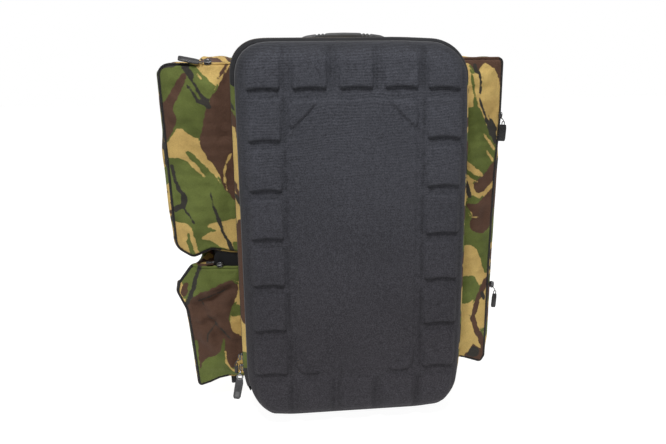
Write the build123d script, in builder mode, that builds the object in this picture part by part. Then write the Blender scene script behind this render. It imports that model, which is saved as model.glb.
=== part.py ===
"""Tackle backpack: a tall fabric rucksack with a moulded drop-down front lid, one tall
side pocket, two stacked side pockets, a top grab handle and a padded carrying system.

X runs across the bag, -Y is the front, +Y is the wearer's side and Z is up. The origin
is on the ground, under the middle of the bag. All sizes are in millimetres.
"""

from build123d import *
from math import atan2, cos, sin
import os

os.makedirs("parts", exist_ok=True)

# Front lid: a moulded foam shell with raised blocks round its face
LID_HALF_WIDTH = 172
LID_BOTTOM = 10
LID_TOP = 602
LID_CORNER = 50
LID_WALL = 5
LID_BACK_Y = -108
LID_FACE_Y = -145
LID_FACE_ROUND = 11
BLOCK_COLUMNS = 5
BLOCK_ROWS = 8
BLOCK_PITCH_X = 67
BLOCK_PITCH_Z = 72
BLOCK_WIDTH = 50
BLOCK_HEIGHT = 60
BLOCK_CORNER = 14
BLOCK_RISE = 3
BINDING_WIDTH = 2.5
BINDING_STAND = 1.5

# Rim round the mouth of the bag, where the main zip runs
RIM_HALF_WIDTH = 180
RIM_TOP = 608
RIM_CORNER = 56
RIM_DEPTH = 4
TAPE_THICKNESS = 3
LID_TAPE_FRONT_Y = -96
LID_TAPE_BACK_Y = -88.5
PACK_TAPE_FRONT_Y = -87.5
LID_SIDE_START = 80        # the lid's fabric sides stop above its bottom hinge
PACK_TAPE_START = 60

# Main compartment
BODY_HALF_WIDTH = 176
BODY_BOTTOM = 3
BODY_TOP = 589
BODY_CORNER = 50
BODY_WALL = 4
BODY_FRONT_Y = -78
BODY_BACK_Y = 95
TRAY_WALL = 3
TRAY_TOP = 30
FRAME_HALF_WIDTH = 150
FRAME_THICKNESS = 2
FRAME_BOTTOM = 45
FRAME_TOP = 555
HINGE_STRIP_HALF_WIDTH = 120
HINGE_STRIP_THICKNESS = 2
HINGE_STRIP_REACH = 16

# Side pockets
POCKET_WALL = 3
POCKET_DOOR_Y = -43
POCKET_TUB_Y = -35
POCKET_BACK_Y = 90
LEFT_HINGE_X = -206
RIGHT_HINGE_X = 200
DOOR_INSET = 4
DOOR_BACK_GAP = 0.5
CHAIN_OUTSET = 0.2
CHAIN_INSET = 3
LEFT_UPPER_CORNERS = [(-176, 297), (-266, 271), (-288, 292), (-296, 566), (-176, 580)]
LEFT_LOWER_CORNERS = [(-176, 52), (-270, 38), (-286, 215), (-264, 250), (-176, 250)]
RIGHT_CORNERS = [(176, 60), (240, 47), (251, 60), (251, 560), (241, 580), (176, 582)]
LEFT_UPPER_RADII = [2, 12, 14, 22, 2]
LEFT_LOWER_RADII = [2, 22, 30, 16, 2]
RIGHT_RADII = [2, 6, 6, 10, 8, 2]

# Zip sliders and pullers
SLIDER_LENGTH = 12
LUG_RADIUS = 2.4
LUG_HOLE = 1.3
LUG_THICKNESS = 1.2
LUG_REACH = 6
PIN_RADIUS = 0.9
CHEEK_OFFSET = 1.7
CHEEK_WIDTH = 1.6
PULLER_NECK = 5
RING_RADIUS = 4.45
RING_WIRE = 0.8
RING_CENTRE = (-186.5, -96, 71)
MAIN_TAB_WIDTH = 12
MAIN_TAB_LENGTH = 37
MAIN_TAB_THICKNESS = 2.4
SLIDER_BACK_Y = -83
HIGH_PULL_HINGE = (-191.6, -89, 94)
HIGH_PULL_SIZE = (6, 18, 2.2)      # width, length and thickness
HIGH_SLIDER_OUTER_X = -187
TOP_SLIDER_INNER_X = {"left_upper": -209, "left_lower": -207}
TOP_SLIDER_FRONT_Y = -49
TOP_SLIDER_BACK_Y = -37
TOP_PULL_HINGE_Y = -40
TOP_PULL_SIZES = {"left_upper": (11, 36, 2.6), "left_lower": (8, 14, 2.2)}
TOP_SLIDER_HEIGHTS = {"left_upper": 577.5, "left_lower": 250}
EDGE_PULL_HINGE_X = 254.5
EDGE_PULL_HINGE_Y = -50
EDGE_SLIDER_INNER_X = 248.6
EDGE_SLIDER_WIDTH = 7.8
EDGE_PULL_HEIGHTS = {"right_upper": 476, "right_lower": 184}
EDGE_PULL_SIZES = {"right_upper": (12, 32, 2.4), "right_lower": (9, 30, 2.4)}

# Grab handle
HANDLE_HALF_SPAN = 72
HANDLE_SHOULDER = 56
HANDLE_PIVOT_Z = 601
HANDLE_MIDDLE_Z = 613
HANDLE_THICKNESS = 11
HANDLE_HALF_WIDTH = 8
HANDLE_PIN_RADIUS = 3
HANDLE_PIN_END = 90
HANDLE_ANCHOR_INNER = 78
HANDLE_ANCHOR_LENGTH = 18
HANDLE_ANCHOR_WIDTH = 26
HANDLE_ANCHOR_HEIGHT = 19
PIN_CLEARANCE = 0.35

# Carrying system on the back
BACK_PAD_CENTRE_X = 62
BACK_PAD_WIDTH = 72
BACK_PAD_BOTTOM = 125
BACK_PAD_TOP = 470
BACK_PAD_THICKNESS = 18
LUMBAR_HALF_WIDTH = 70
LUMBAR_BOTTOM = 50
LUMBAR_TOP = 115
LUMBAR_THICKNESS = 17
YOKE_HALF_WIDTH = 95
YOKE_BOTTOM = 515
YOKE_TOP = 565
YOKE_THICKNESS = 4
STRAP_TOP_X = 62
STRAP_TOP_Z = 540
STRAP_BOTTOM_X = 142
STRAP_BOTTOM_Z = 45
STRAP_LINE_Y = 104
STRAP_ROOT_RADIUS = 4
STRAP_ROOT_HALF_HEIGHT = 8
PAD_THICKNESS = 14
PAD_WIDTH = 62
PAD_END_WIDTH = 36
WEB_WIDTH = 25
WEB_THICKNESS = 2
LOCK_WIDTH = 33
LOCK_LENGTH = 30
LOCK_THICKNESS = 6
ANCHOR_TAB_WIDTH = 34
ANCHOR_TAB_HEIGHT = 30
BELT_HINGE_X = 93
BELT_ROOT_Y = 103
BELT_TIP_Y = 165
BELT_BOTTOM = 52
BELT_TOP = 112
BELT_THICKNESS = 10
BELT_WEB_CENTRE_Y = 148
BELT_WEB_BOTTOM = 46
BUCKLE_BOTTOM = 16
BUCKLE_WIDTH = 30
BUCKLE_THICKNESS = 9
PRONG_LENGTH = 12
PRONG_WIDTH = 4


def save(part, name):
    """Name a finished piece and write it."""
    part.label = name
    export_step(part, f"parts/{name}.step")


def front_plane(y):
    """Upright plane across the bag: local x is X, local y is Z, and it faces the front."""
    return Plane(origin=(0, y, 0), x_dir=(1, 0, 0), z_dir=(0, -1, 0))


def bag_outline(half_width, bottom, top, corner):
    """Rounded front outline of the bag or its lid."""
    with Locations((0, (bottom + top) / 2)):
        RectangleRounded(2 * half_width, top - bottom, corner)


def block(low, high, mode=Mode.ADD):
    """A square-edged block between two opposite corners."""
    size = [b - a for a, b in zip(low, high)]
    with Locations(tuple((a + b) / 2 for a, b in zip(low, high))):
        Box(*size, mode=mode)


def cut_below(height):
    """Cut away everything lower than a height."""
    block((-400, -400, -10), (400, 400, height), mode=Mode.SUBTRACT)


# ---------------------------------------------------------------- main compartment

with BuildPart() as body_shell:
    with BuildSketch(front_plane(BODY_FRONT_Y - RIM_DEPTH)):
        bag_outline(RIM_HALF_WIDTH, BODY_BOTTOM, RIM_TOP, RIM_CORNER)
    extrude(amount=-RIM_DEPTH)
    cut_below(TRAY_TOP)
    with BuildSketch(front_plane(BODY_FRONT_Y)):
        bag_outline(BODY_HALF_WIDTH, BODY_BOTTOM, BODY_TOP, BODY_CORNER)
    extrude(amount=BODY_FRONT_Y - BODY_BACK_Y)
    with BuildSketch(front_plane(BODY_FRONT_Y - RIM_DEPTH)):
        bag_outline(
            BODY_HALF_WIDTH - BODY_WALL,
            BODY_BOTTOM + BODY_WALL,
            BODY_TOP - BODY_WALL,
            BODY_CORNER - BODY_WALL,
        )
    extrude(amount=-(BODY_BACK_Y - BODY_WALL - BODY_FRONT_Y + RIM_DEPTH), mode=Mode.SUBTRACT)
save(body_shell.part, "body_shell")

with BuildPart() as base_tray:
    with BuildSketch(front_plane(BODY_FRONT_Y)):
        bag_outline(
            BODY_HALF_WIDTH + TRAY_WALL,
            BODY_BOTTOM - TRAY_WALL,
            BODY_TOP,
            BODY_CORNER + TRAY_WALL,
        )
    extrude(amount=BODY_FRONT_Y - BODY_BACK_Y - TRAY_WALL)
    with BuildSketch(front_plane(BODY_FRONT_Y)):
        bag_outline(BODY_HALF_WIDTH, BODY_BOTTOM, BODY_TOP, BODY_CORNER)
    extrude(amount=BODY_FRONT_Y - BODY_BACK_Y, mode=Mode.SUBTRACT)
    block((-400, -400, TRAY_TOP), (400, 400, 700), mode=Mode.SUBTRACT)
save(base_tray.part, "base_tray")

with BuildPart() as frame_sheet:
    with BuildSketch(front_plane(BODY_BACK_Y - BODY_WALL)):
        bag_outline(FRAME_HALF_WIDTH, FRAME_BOTTOM, FRAME_TOP, BODY_CORNER / 2)
    extrude(amount=FRAME_THICKNESS)
save(frame_sheet.part, "frame_sheet")

with BuildPart() as lid_hinge_strip:
    block(
        (-HINGE_STRIP_HALF_WIDTH, BODY_FRONT_Y - HINGE_STRIP_REACH, BODY_BOTTOM),
        (HINGE_STRIP_HALF_WIDTH, BODY_FRONT_Y, BODY_BOTTOM + HINGE_STRIP_THICKNESS),
    )
save(lid_hinge_strip.part, "lid_hinge_strip")


def rim_ring(front_y, back_y, start):
    """One side of the main zip, following the bag's rim down to a starting height."""
    with BuildPart() as ring:
        with BuildSketch(front_plane(back_y)):
            bag_outline(RIM_HALF_WIDTH, BODY_BOTTOM, RIM_TOP, RIM_CORNER)
            offset(amount=-TAPE_THICKNESS, mode=Mode.SUBTRACT)
        extrude(amount=back_y - front_y)
        cut_below(start)
    return ring.part


save(rim_ring(PACK_TAPE_FRONT_Y, BODY_FRONT_Y - RIM_DEPTH, PACK_TAPE_START), "zip_chain_pack")
save(rim_ring(LID_TAPE_FRONT_Y, LID_TAPE_BACK_Y, LID_SIDE_START), "zip_chain_lid")

# ---------------------------------------------------------------- front lid

with BuildPart() as lid_shell:
    with BuildSketch(front_plane(LID_BACK_Y)):
        bag_outline(LID_HALF_WIDTH, LID_BOTTOM, LID_TOP, LID_CORNER)
    extrude(amount=LID_BACK_Y - LID_FACE_Y)
    fillet(faces().sort_by(Axis.Y)[0].edges(), LID_FACE_ROUND)
    with BuildSketch(front_plane(LID_BACK_Y)):
        bag_outline(
            LID_HALF_WIDTH - LID_WALL,
            LID_BOTTOM + LID_WALL,
            LID_TOP - LID_WALL,
            LID_CORNER - LID_WALL,
        )
    extrude(amount=LID_BACK_Y - LID_FACE_Y - LID_WALL, mode=Mode.SUBTRACT)
    with BuildSketch(front_plane(LID_FACE_Y + LID_WALL / 2)):
        for column in range(BLOCK_COLUMNS):
            for row in range(BLOCK_ROWS):
                if column in (0, BLOCK_COLUMNS - 1) or row in (0, BLOCK_ROWS - 1):
                    x = (column - (BLOCK_COLUMNS - 1) / 2) * BLOCK_PITCH_X
                    z = (LID_BOTTOM + LID_TOP) / 2 + (row - (BLOCK_ROWS - 1) / 2) * BLOCK_PITCH_Z
                    with Locations((x, z)):
                        RectangleRounded(BLOCK_WIDTH, BLOCK_HEIGHT, BLOCK_CORNER)
    extrude(amount=LID_WALL / 2 + BLOCK_RISE)
save(lid_shell.part, "lid_shell")

with BuildPart() as lid_binding:
    with BuildSketch(front_plane(LID_BACK_Y + BINDING_WIDTH)):
        bag_outline(
            LID_HALF_WIDTH + BINDING_STAND,
            LID_BOTTOM - BINDING_STAND,
            LID_TOP + BINDING_STAND,
            LID_CORNER + BINDING_STAND,
        )
        offset(amount=-BINDING_STAND - LID_WALL, mode=Mode.SUBTRACT)
    extrude(amount=BINDING_WIDTH)
save(lid_binding.part, "lid_binding")


def gusset_sections(inset):
    """The two outlines that the lid's fabric side runs between."""
    with BuildSketch(front_plane(LID_BACK_Y + BINDING_WIDTH)) as narrow:
        bag_outline(LID_HALF_WIDTH - inset, LID_BOTTOM + inset, LID_TOP - inset, LID_CORNER - inset)
    with BuildSketch(front_plane(LID_TAPE_FRONT_Y)) as wide:
        bag_outline(RIM_HALF_WIDTH - inset, BODY_BOTTOM + inset, RIM_TOP - inset, RIM_CORNER - inset)
    return [narrow.sketch, wide.sketch]


with BuildPart() as lid_gusset:
    loft(gusset_sections(0))
    loft(gusset_sections(TAPE_THICKNESS), mode=Mode.SUBTRACT)
    cut_below(LID_SIDE_START)
save(lid_gusset.part, "lid_gusset")

# ---------------------------------------------------------------- side pockets


def rounded_line(corners, radii):
    """Closed outline with a radius at each corner."""
    with BuildLine() as line:
        FilletPolyline(*corners, radius=radii, close=True)
    return line.line


def pocket_tub(line, hinge_x):
    """Open-fronted pocket, with the fixed strip of its front beside the bag."""
    body_x = BODY_HALF_WIDTH if hinge_x > 0 else -BODY_HALF_WIDTH
    with BuildPart() as tub:
        with BuildSketch(front_plane(POCKET_TUB_Y)):
            make_face(line.edges())
        extrude(amount=POCKET_TUB_Y - POCKET_BACK_Y)
        with BuildSketch(front_plane(POCKET_TUB_Y)):
            make_face(line.edges())
            with Locations(((body_x + hinge_x) / 2, RIM_TOP / 2)):
                Rectangle(abs(hinge_x - body_x), RIM_TOP, mode=Mode.INTERSECT)
        extrude(amount=POCKET_TUB_Y - POCKET_DOOR_Y)
        with BuildSketch(front_plane(POCKET_TUB_Y)):
            make_face(line.edges())
            offset(amount=-POCKET_WALL, mode=Mode.REPLACE)
        extrude(amount=POCKET_TUB_Y - POCKET_BACK_Y + POCKET_WALL, mode=Mode.SUBTRACT)
    return tub.part


def pocket_chain(line, hinge_x):
    """Pocket zip, round the top, the outer side and the bottom of the door."""
    side = 1 if hinge_x > 0 else -1
    with BuildPart() as chain:
        with BuildSketch(front_plane(POCKET_TUB_Y)):
            make_face(line.edges())
            offset(amount=-CHAIN_OUTSET, mode=Mode.REPLACE)
            offset(amount=CHAIN_OUTSET - CHAIN_INSET, mode=Mode.SUBTRACT)
            with Locations((side * RIM_HALF_WIDTH, RIM_TOP / 2)):
                width = 2 * (abs(hinge_x) + DOOR_INSET - RIM_HALF_WIDTH)
                Rectangle(width, 2 * RIM_TOP, mode=Mode.SUBTRACT)
        extrude(amount=POCKET_TUB_Y - POCKET_DOOR_Y)
    return chain.part


def pocket_door(line, hinge_x):
    """Padded pocket front that folds out about its inner edge."""
    side = 1 if hinge_x > 0 else -1
    with BuildPart() as door:
        with BuildSketch(front_plane(POCKET_TUB_Y - DOOR_BACK_GAP)):
            make_face(line.edges())
            offset(amount=-DOOR_INSET, mode=Mode.REPLACE)
            with Locations((hinge_x + side * (100 + DOOR_BACK_GAP), RIM_TOP / 2)):
                Rectangle(200, RIM_TOP, mode=Mode.INTERSECT)
        extrude(amount=POCKET_TUB_Y - DOOR_BACK_GAP - POCKET_DOOR_Y)
    return door.part


POCKETS = {
    "left_upper": (rounded_line(LEFT_UPPER_CORNERS, LEFT_UPPER_RADII), LEFT_HINGE_X),
    "left_lower": (rounded_line(LEFT_LOWER_CORNERS, LEFT_LOWER_RADII), LEFT_HINGE_X),
    "right": (rounded_line(RIGHT_CORNERS, RIGHT_RADII), RIGHT_HINGE_X),
}
for pocket, (pocket_line, pocket_hinge_x) in POCKETS.items():
    save(pocket_tub(pocket_line, pocket_hinge_x), f"pocket_{pocket}_tub")
    save(pocket_chain(pocket_line, pocket_hinge_x), f"pocket_{pocket}_zip")
    save(pocket_door(pocket_line, pocket_hinge_x), f"pocket_{pocket}_door")

# ---------------------------------------------------------------- zip sliders and pullers


def hanging_plane(x, y, z):
    """Hinge of a puller that hangs flat, facing the front: local x is the hinge pin."""
    return Plane(origin=(x, y, z), x_dir=(1, 0, 0), z_dir=(0, -1, 0))


def lying_plane(x, y, z):
    """Hinge of a puller that lies flat and points to -X: local x is the hinge pin."""
    return Plane(origin=(x, y, z), x_dir=(0, 1, 0), z_dir=(0, 0, -1))


def zip_slider(blocks, hinge):
    """Slider body, with the eye that its puller hangs from."""
    with BuildPart() as slider:
        for low, high in blocks:
            block(low, high)
        with BuildSketch(Plane(origin=hinge.origin, x_dir=hinge.y_dir, z_dir=hinge.x_dir)):
            Circle(LUG_RADIUS)
            with Locations((LUG_REACH / 2, 0)):
                Rectangle(LUG_REACH, 2 * LUG_RADIUS * 0.8)
            Circle(LUG_HOLE, mode=Mode.SUBTRACT)
        extrude(amount=LUG_THICKNESS / 2, both=True)
    return slider.part


def fork_puller(hinge, width, length, thickness):
    """Flat puller with a forked top and a pin through the slider's eye."""
    with BuildPart() as puller:
        with BuildSketch(hinge):
            with Locations((0, -(PULLER_NECK + length) / 2)):
                RectangleRounded(width, length - PULLER_NECK, width / 5)
            with Locations((-CHEEK_OFFSET, -PULLER_NECK / 2), (CHEEK_OFFSET, -PULLER_NECK / 2)):
                Rectangle(CHEEK_WIDTH, PULLER_NECK + 2)
        extrude(amount=thickness / 2, both=True)
        with BuildSketch(Plane(origin=hinge.origin, x_dir=hinge.y_dir, z_dir=hinge.x_dir)):
            Circle(PIN_RADIUS)
        extrude(amount=CHEEK_OFFSET, both=True)
    return puller.part


eye_gap = LUG_REACH - 2     # from a puller's hinge to the body of its slider
door_clear_y = POCKET_DOOR_Y - 0.3

ring_x, ring_y, ring_z = RING_CENTRE
ring_top = ring_z + RING_RADIUS
rim_clear_x = -RIM_HALF_WIDTH - 0.5
slider_low = ring_top + eye_gap
save(
    zip_slider(
        [
            (
                (ring_x - LUG_THICKNESS, ring_y - 2, slider_low),
                (rim_clear_x, SLIDER_BACK_Y, slider_low + SLIDER_LENGTH),
            )
        ],
        hanging_plane(ring_x, ring_y, ring_top),
    ),
    "main_slider_lower",
)

with BuildPart() as main_puller_ring:
    with BuildSketch(Plane(origin=RING_CENTRE, x_dir=(1, 0, 0), z_dir=(0, 0, 1))):
        with Locations((RING_RADIUS, 0)):
            Circle(RING_WIRE)
    revolve(axis=Axis((ring_x, ring_y, ring_z), (0, 1, 0)))
save(main_puller_ring.part, "main_puller_ring")

tab_top = ring_z - RING_RADIUS + 1
with BuildPart() as main_puller_tab:
    with BuildSketch(front_plane(ring_y)):
        with Locations((ring_x, tab_top - MAIN_TAB_LENGTH / 2)):
            RectangleRounded(MAIN_TAB_WIDTH, MAIN_TAB_LENGTH, MAIN_TAB_WIDTH / 4)
        with Locations((ring_x, ring_z - RING_RADIUS + RING_WIRE + RING_RADIUS)):
            Circle(RING_RADIUS, mode=Mode.SUBTRACT)
    extrude(amount=MAIN_TAB_THICKNESS / 2, both=True)
save(main_puller_tab.part, "main_puller_tab")

high_x, high_y, high_z = HIGH_PULL_HINGE
high_low = high_z + eye_gap
save(
    zip_slider(
        [
            (
                (HIGH_SLIDER_OUTER_X, high_y - 5, high_low),
                (rim_clear_x, SLIDER_BACK_Y, high_low + SLIDER_LENGTH),
            ),
            (
                (high_x - LUG_THICKNESS / 2, high_y - 2, high_low),
                (HIGH_SLIDER_OUTER_X, high_y + 2, high_low + 4),
            ),
        ],
        hanging_plane(high_x, high_y, high_z),
    ),
    "main_slider_upper",
)
save(fork_puller(hanging_plane(high_x, high_y, high_z), *HIGH_PULL_SIZE), "main_puller_upper")

# Each slider on the stacked pockets hooks over the pocket's top, where its puller lies.
for pocket, pocket_top in TOP_SLIDER_HEIGHTS.items():
    inner_x = TOP_SLIDER_INNER_X[pocket]
    outer_x = inner_x - SLIDER_LENGTH
    hinge = lying_plane(outer_x - eye_gap, TOP_PULL_HINGE_Y, pocket_top + 3.6)
    slider_top = pocket_top + 5.6
    save(
        zip_slider(
            [
                (
                    (outer_x, TOP_SLIDER_FRONT_Y, pocket_top - 2.4),
                    (inner_x, door_clear_y, slider_top),
                ),
                (
                    (outer_x, door_clear_y, pocket_top + 1.2),
                    (inner_x, TOP_SLIDER_BACK_Y, slider_top),
                ),
            ],
            hinge,
        ),
        f"slider_{pocket}",
    )
    save(fork_puller(hinge, *TOP_PULL_SIZES[pocket]), f"puller_{pocket}")

# The tall pocket has two sliders on its outer edge, with hanging pullers.
for name, hinge_z in EDGE_PULL_HEIGHTS.items():
    hinge = hanging_plane(EDGE_PULL_HINGE_X, EDGE_PULL_HINGE_Y, hinge_z)
    low = hinge_z + eye_gap
    slider_block = (
        (EDGE_SLIDER_INNER_X, EDGE_PULL_HINGE_Y - 2, low),
        (EDGE_SLIDER_INNER_X + EDGE_SLIDER_WIDTH, door_clear_y, low + SLIDER_LENGTH),
    )
    save(zip_slider([slider_block], hinge), f"slider_{name}")
    save(fork_puller(hinge, *EDGE_PULL_SIZES[name]), f"puller_{name}")

# ---------------------------------------------------------------- grab handle

with BuildPart() as handle_grip:
    with BuildSketch(front_plane(0)):
        with BuildLine():
            FilletPolyline(
                (-HANDLE_HALF_SPAN, HANDLE_PIVOT_Z),
                (-HANDLE_SHOULDER, HANDLE_MIDDLE_Z),
                (HANDLE_SHOULDER, HANDLE_MIDDLE_Z),
                (HANDLE_HALF_SPAN, HANDLE_PIVOT_Z),
                radius=14,
            )
        trace(line_width=HANDLE_THICKNESS)
    extrude(amount=HANDLE_HALF_WIDTH, both=True)
    fillet(edges().filter_by(GeomType.CIRCLE) + edges().filter_by(Axis.X), 3)
    for side in (-1, 1):
        pin_start = HANDLE_HALF_SPAN - HANDLE_THICKNESS / 2
        pin_plane = Plane(origin=(side * pin_start, 0, HANDLE_PIVOT_Z), z_dir=(side, 0, 0))
        with BuildSketch(pin_plane):
            Circle(HANDLE_PIN_RADIUS)
        extrude(amount=HANDLE_PIN_END - pin_start)
save(handle_grip.part, "handle_grip")

for side, side_name in ((-1, "left"), (1, "right")):
    inner = HANDLE_ANCHOR_INNER
    anchor_plane = Plane(origin=(side * inner, 0, BODY_TOP), x_dir=(0, 1, 0), z_dir=(side, 0, 0))
    lift = 1 if anchor_plane.y_dir.Z > 0 else -1
    with BuildPart() as handle_anchor:
        with BuildSketch(anchor_plane):
            with Locations((0, lift * HANDLE_ANCHOR_HEIGHT / 2)):
                RectangleRounded(HANDLE_ANCHOR_WIDTH, HANDLE_ANCHOR_HEIGHT, 3)
            with Locations((0, lift * (HANDLE_PIVOT_Z - BODY_TOP))):
                Circle(HANDLE_PIN_RADIUS + PIN_CLEARANCE, mode=Mode.SUBTRACT)
        extrude(amount=HANDLE_ANCHOR_LENGTH)
    save(handle_anchor.part, f"handle_anchor_{side_name}")

# ---------------------------------------------------------------- back padding


def back_panel(centre_x, half_width, bottom, top, thickness, corner):
    """Flat padded panel on the wearer's side."""
    with BuildPart() as panel:
        with BuildSketch(front_plane(BODY_BACK_Y)):
            with Locations((centre_x, (bottom + top) / 2)):
                RectangleRounded(2 * half_width, top - bottom, corner)
        extrude(amount=-thickness)
    return panel.part


for side, side_name in ((-1, "left"), (1, "right")):
    pad = back_panel(
        side * BACK_PAD_CENTRE_X,
        BACK_PAD_WIDTH / 2,
        BACK_PAD_BOTTOM,
        BACK_PAD_TOP,
        BACK_PAD_THICKNESS,
        BACK_PAD_WIDTH / 4,
    )
    save(pad, f"back_pad_{side_name}")
save(
    back_panel(0, LUMBAR_HALF_WIDTH, LUMBAR_BOTTOM, LUMBAR_TOP, LUMBAR_THICKNESS, 18),
    "lumbar_pad",
)
save(back_panel(0, YOKE_HALF_WIDTH, YOKE_BOTTOM, YOKE_TOP, YOKE_THICKNESS, 10), "strap_yoke")

# ---------------------------------------------------------------- shoulder straps

strap_drop = STRAP_TOP_Z - STRAP_BOTTOM_Z
strap_lean = atan2(STRAP_BOTTOM_X - STRAP_TOP_X, strap_drop)
strap_run = strap_drop / cos(strap_lean)
PAD_TOP = (120, 10)
PAD_MIDDLE = (163, -130)
PAD_BOTTOM = (139, -278)


def strap_plane(side):
    """Plane that a shoulder strap curves in: local x is Y, local y runs up the strap."""
    return Plane(
        origin=(side * STRAP_TOP_X, 0, STRAP_TOP_Z),
        x_dir=(0, 1, 0),
        z_dir=(cos(strap_lean), 0, side * sin(strap_lean)),
    )


for side, side_name in ((-1, "left"), (1, "right")):
    plane = strap_plane(side)
    with BuildPart() as shoulder_pad:
        with BuildSketch(plane):
            with BuildLine():
                ThreePointArc(PAD_TOP, PAD_MIDDLE, PAD_BOTTOM)
            trace(line_width=PAD_THICKNESS)
        extrude(amount=PAD_WIDTH / 2, both=True)
        with BuildSketch(Plane(origin=plane.origin, x_dir=plane.z_dir, z_dir=(0, 1, 0))):
            with BuildLine():
                FilletPolyline(
                    (-PAD_END_WIDTH / 2, -40),
                    (PAD_END_WIDTH / 2, -40),
                    (PAD_WIDTH / 2, 60),
                    (PAD_WIDTH / 2, 220),
                    (PAD_END_WIDTH / 2, 300),
                    (-PAD_END_WIDTH / 2, 300),
                    (-PAD_WIDTH / 2, 220),
                    (-PAD_WIDTH / 2, 60),
                    radius=12,
                    close=True,
                )
            make_face()
        extrude(amount=250, mode=Mode.INTERSECT)
    save(shoulder_pad.part, f"shoulder_pad_{side_name}")

    with BuildPart() as strap_root:
        with BuildSketch(Plane(origin=plane.origin, x_dir=plane.x_dir, z_dir=plane.y_dir)):
            with Locations((STRAP_LINE_Y, 0)):
                Circle(STRAP_ROOT_RADIUS)
            with Locations(((STRAP_LINE_Y + PAD_TOP[0]) / 2, 0)):
                Rectangle(PAD_TOP[0] - STRAP_LINE_Y, 2 * STRAP_ROOT_RADIUS)
        extrude(amount=STRAP_ROOT_HALF_HEIGHT, both=True)
        with BuildSketch(plane):
            with BuildLine():
                ThreePointArc(PAD_TOP, PAD_MIDDLE, PAD_BOTTOM)
            trace(line_width=PAD_THICKNESS)
        extrude(amount=PAD_WIDTH / 2, both=True, mode=Mode.SUBTRACT)
        split(bisect_by=Plane.XZ.offset(-PAD_TOP[0] - 1), keep=Keep.TOP)
    save(strap_root.part, f"strap_root_{side_name}")

    # The adjuster's strap drops from under the pad to the bottom anchor.
    web_start = (PAD_BOTTOM[0] - PAD_THICKNESS / 2 - WEB_THICKNESS, PAD_BOTTOM[1] + 12)
    web_end = (STRAP_LINE_Y, -strap_run)
    with BuildPart() as strap_webbing:
        with BuildSketch(plane):
            with BuildLine():
                FilletPolyline(web_start, (STRAP_LINE_Y + 8, -strap_run + 70), web_end, radius=60)
            trace(line_width=WEB_THICKNESS)
        extrude(amount=WEB_WIDTH / 2, both=True)
    save(strap_webbing.part, f"strap_webbing_{side_name}")

    with BuildPart() as ladder_lock:
        lock_plane = Plane(origin=plane.origin, x_dir=plane.z_dir, z_dir=(0, 1, 0))
        with BuildSketch(lock_plane.offset(PAD_BOTTOM[0] - LOCK_THICKNESS / 2)):
            with Locations((0, -PAD_BOTTOM[1] + LOCK_LENGTH / 2 + 3)):
                RectangleRounded(LOCK_WIDTH, LOCK_LENGTH, 4)
                with Locations((0, -LOCK_LENGTH / 4), (0, LOCK_LENGTH / 4)):
                    Rectangle(WEB_WIDTH + 1, LOCK_LENGTH / 5, mode=Mode.SUBTRACT)
        extrude(amount=LOCK_THICKNESS)
    save(ladder_lock.part, f"ladder_lock_{side_name}")

    with BuildPart() as strap_anchor:
        anchor_x = side * (STRAP_BOTTOM_X + 3)
        with BuildSketch(front_plane(BODY_BACK_Y)):
            with Locations((anchor_x, STRAP_BOTTOM_Z + 4)):
                RectangleRounded(ANCHOR_TAB_WIDTH, ANCHOR_TAB_HEIGHT, 3)
        extrude(amount=-WEB_THICKNESS)
    save(strap_anchor.part, f"strap_anchor_{side_name}")

# ---------------------------------------------------------------- waist belt


def belt_plane(x):
    """Plane of a belt wing: local x is Y and local y is Z."""
    return Plane(origin=(x, 0, 0), x_dir=(0, 1, 0), z_dir=(1, 0, 0))


for side, side_name in ((-1, "left"), (1, "right")):
    belt_x = side * BELT_HINGE_X
    with BuildPart() as belt_wing:
        with BuildSketch(belt_plane(belt_x)):
            with BuildLine():
                FilletPolyline(
                    (BELT_ROOT_Y, BELT_BOTTOM),
                    (BELT_TIP_Y, BELT_BOTTOM + 12),
                    (BELT_TIP_Y, BELT_TOP - 12),
                    (BELT_ROOT_Y, BELT_TOP),
                    radius=[3, 14, 14, 3],
                    close=True,
                )
            make_face()
        extrude(amount=BELT_THICKNESS / 2, both=True)
    save(belt_wing.part, f"belt_wing_{side_name}")

    with BuildPart() as belt_webbing:
        block(
            (belt_x - WEB_THICKNESS / 2, BELT_WEB_CENTRE_Y - WEB_WIDTH / 2, BELT_WEB_BOTTOM),
            (belt_x + WEB_THICKNESS / 2, BELT_WEB_CENTRE_Y + WEB_WIDTH / 2, BELT_BOTTOM + 2),
        )
    save(belt_webbing.part, f"belt_webbing_{side_name}")

buckle_top = BELT_WEB_BOTTOM
with BuildPart() as belt_buckle_socket:
    with BuildSketch(belt_plane(-BELT_HINGE_X)):
        with Locations((BELT_WEB_CENTRE_Y, (BUCKLE_BOTTOM + buckle_top) / 2)):
            RectangleRounded(BUCKLE_WIDTH, buckle_top - BUCKLE_BOTTOM, 4)
    extrude(amount=BUCKLE_THICKNESS / 2, both=True)
    mouth = (BUCKLE_WIDTH - 8, BUCKLE_THICKNESS - 4)
    with BuildSketch(Plane.XY.offset(BUCKLE_BOTTOM)):
        with Locations((-BELT_HINGE_X, BELT_WEB_CENTRE_Y)):
            Rectangle(mouth[1], mouth[0])
    extrude(amount=PRONG_LENGTH + 4, mode=Mode.SUBTRACT)
save(belt_buckle_socket.part, "belt_buckle_socket")

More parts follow.
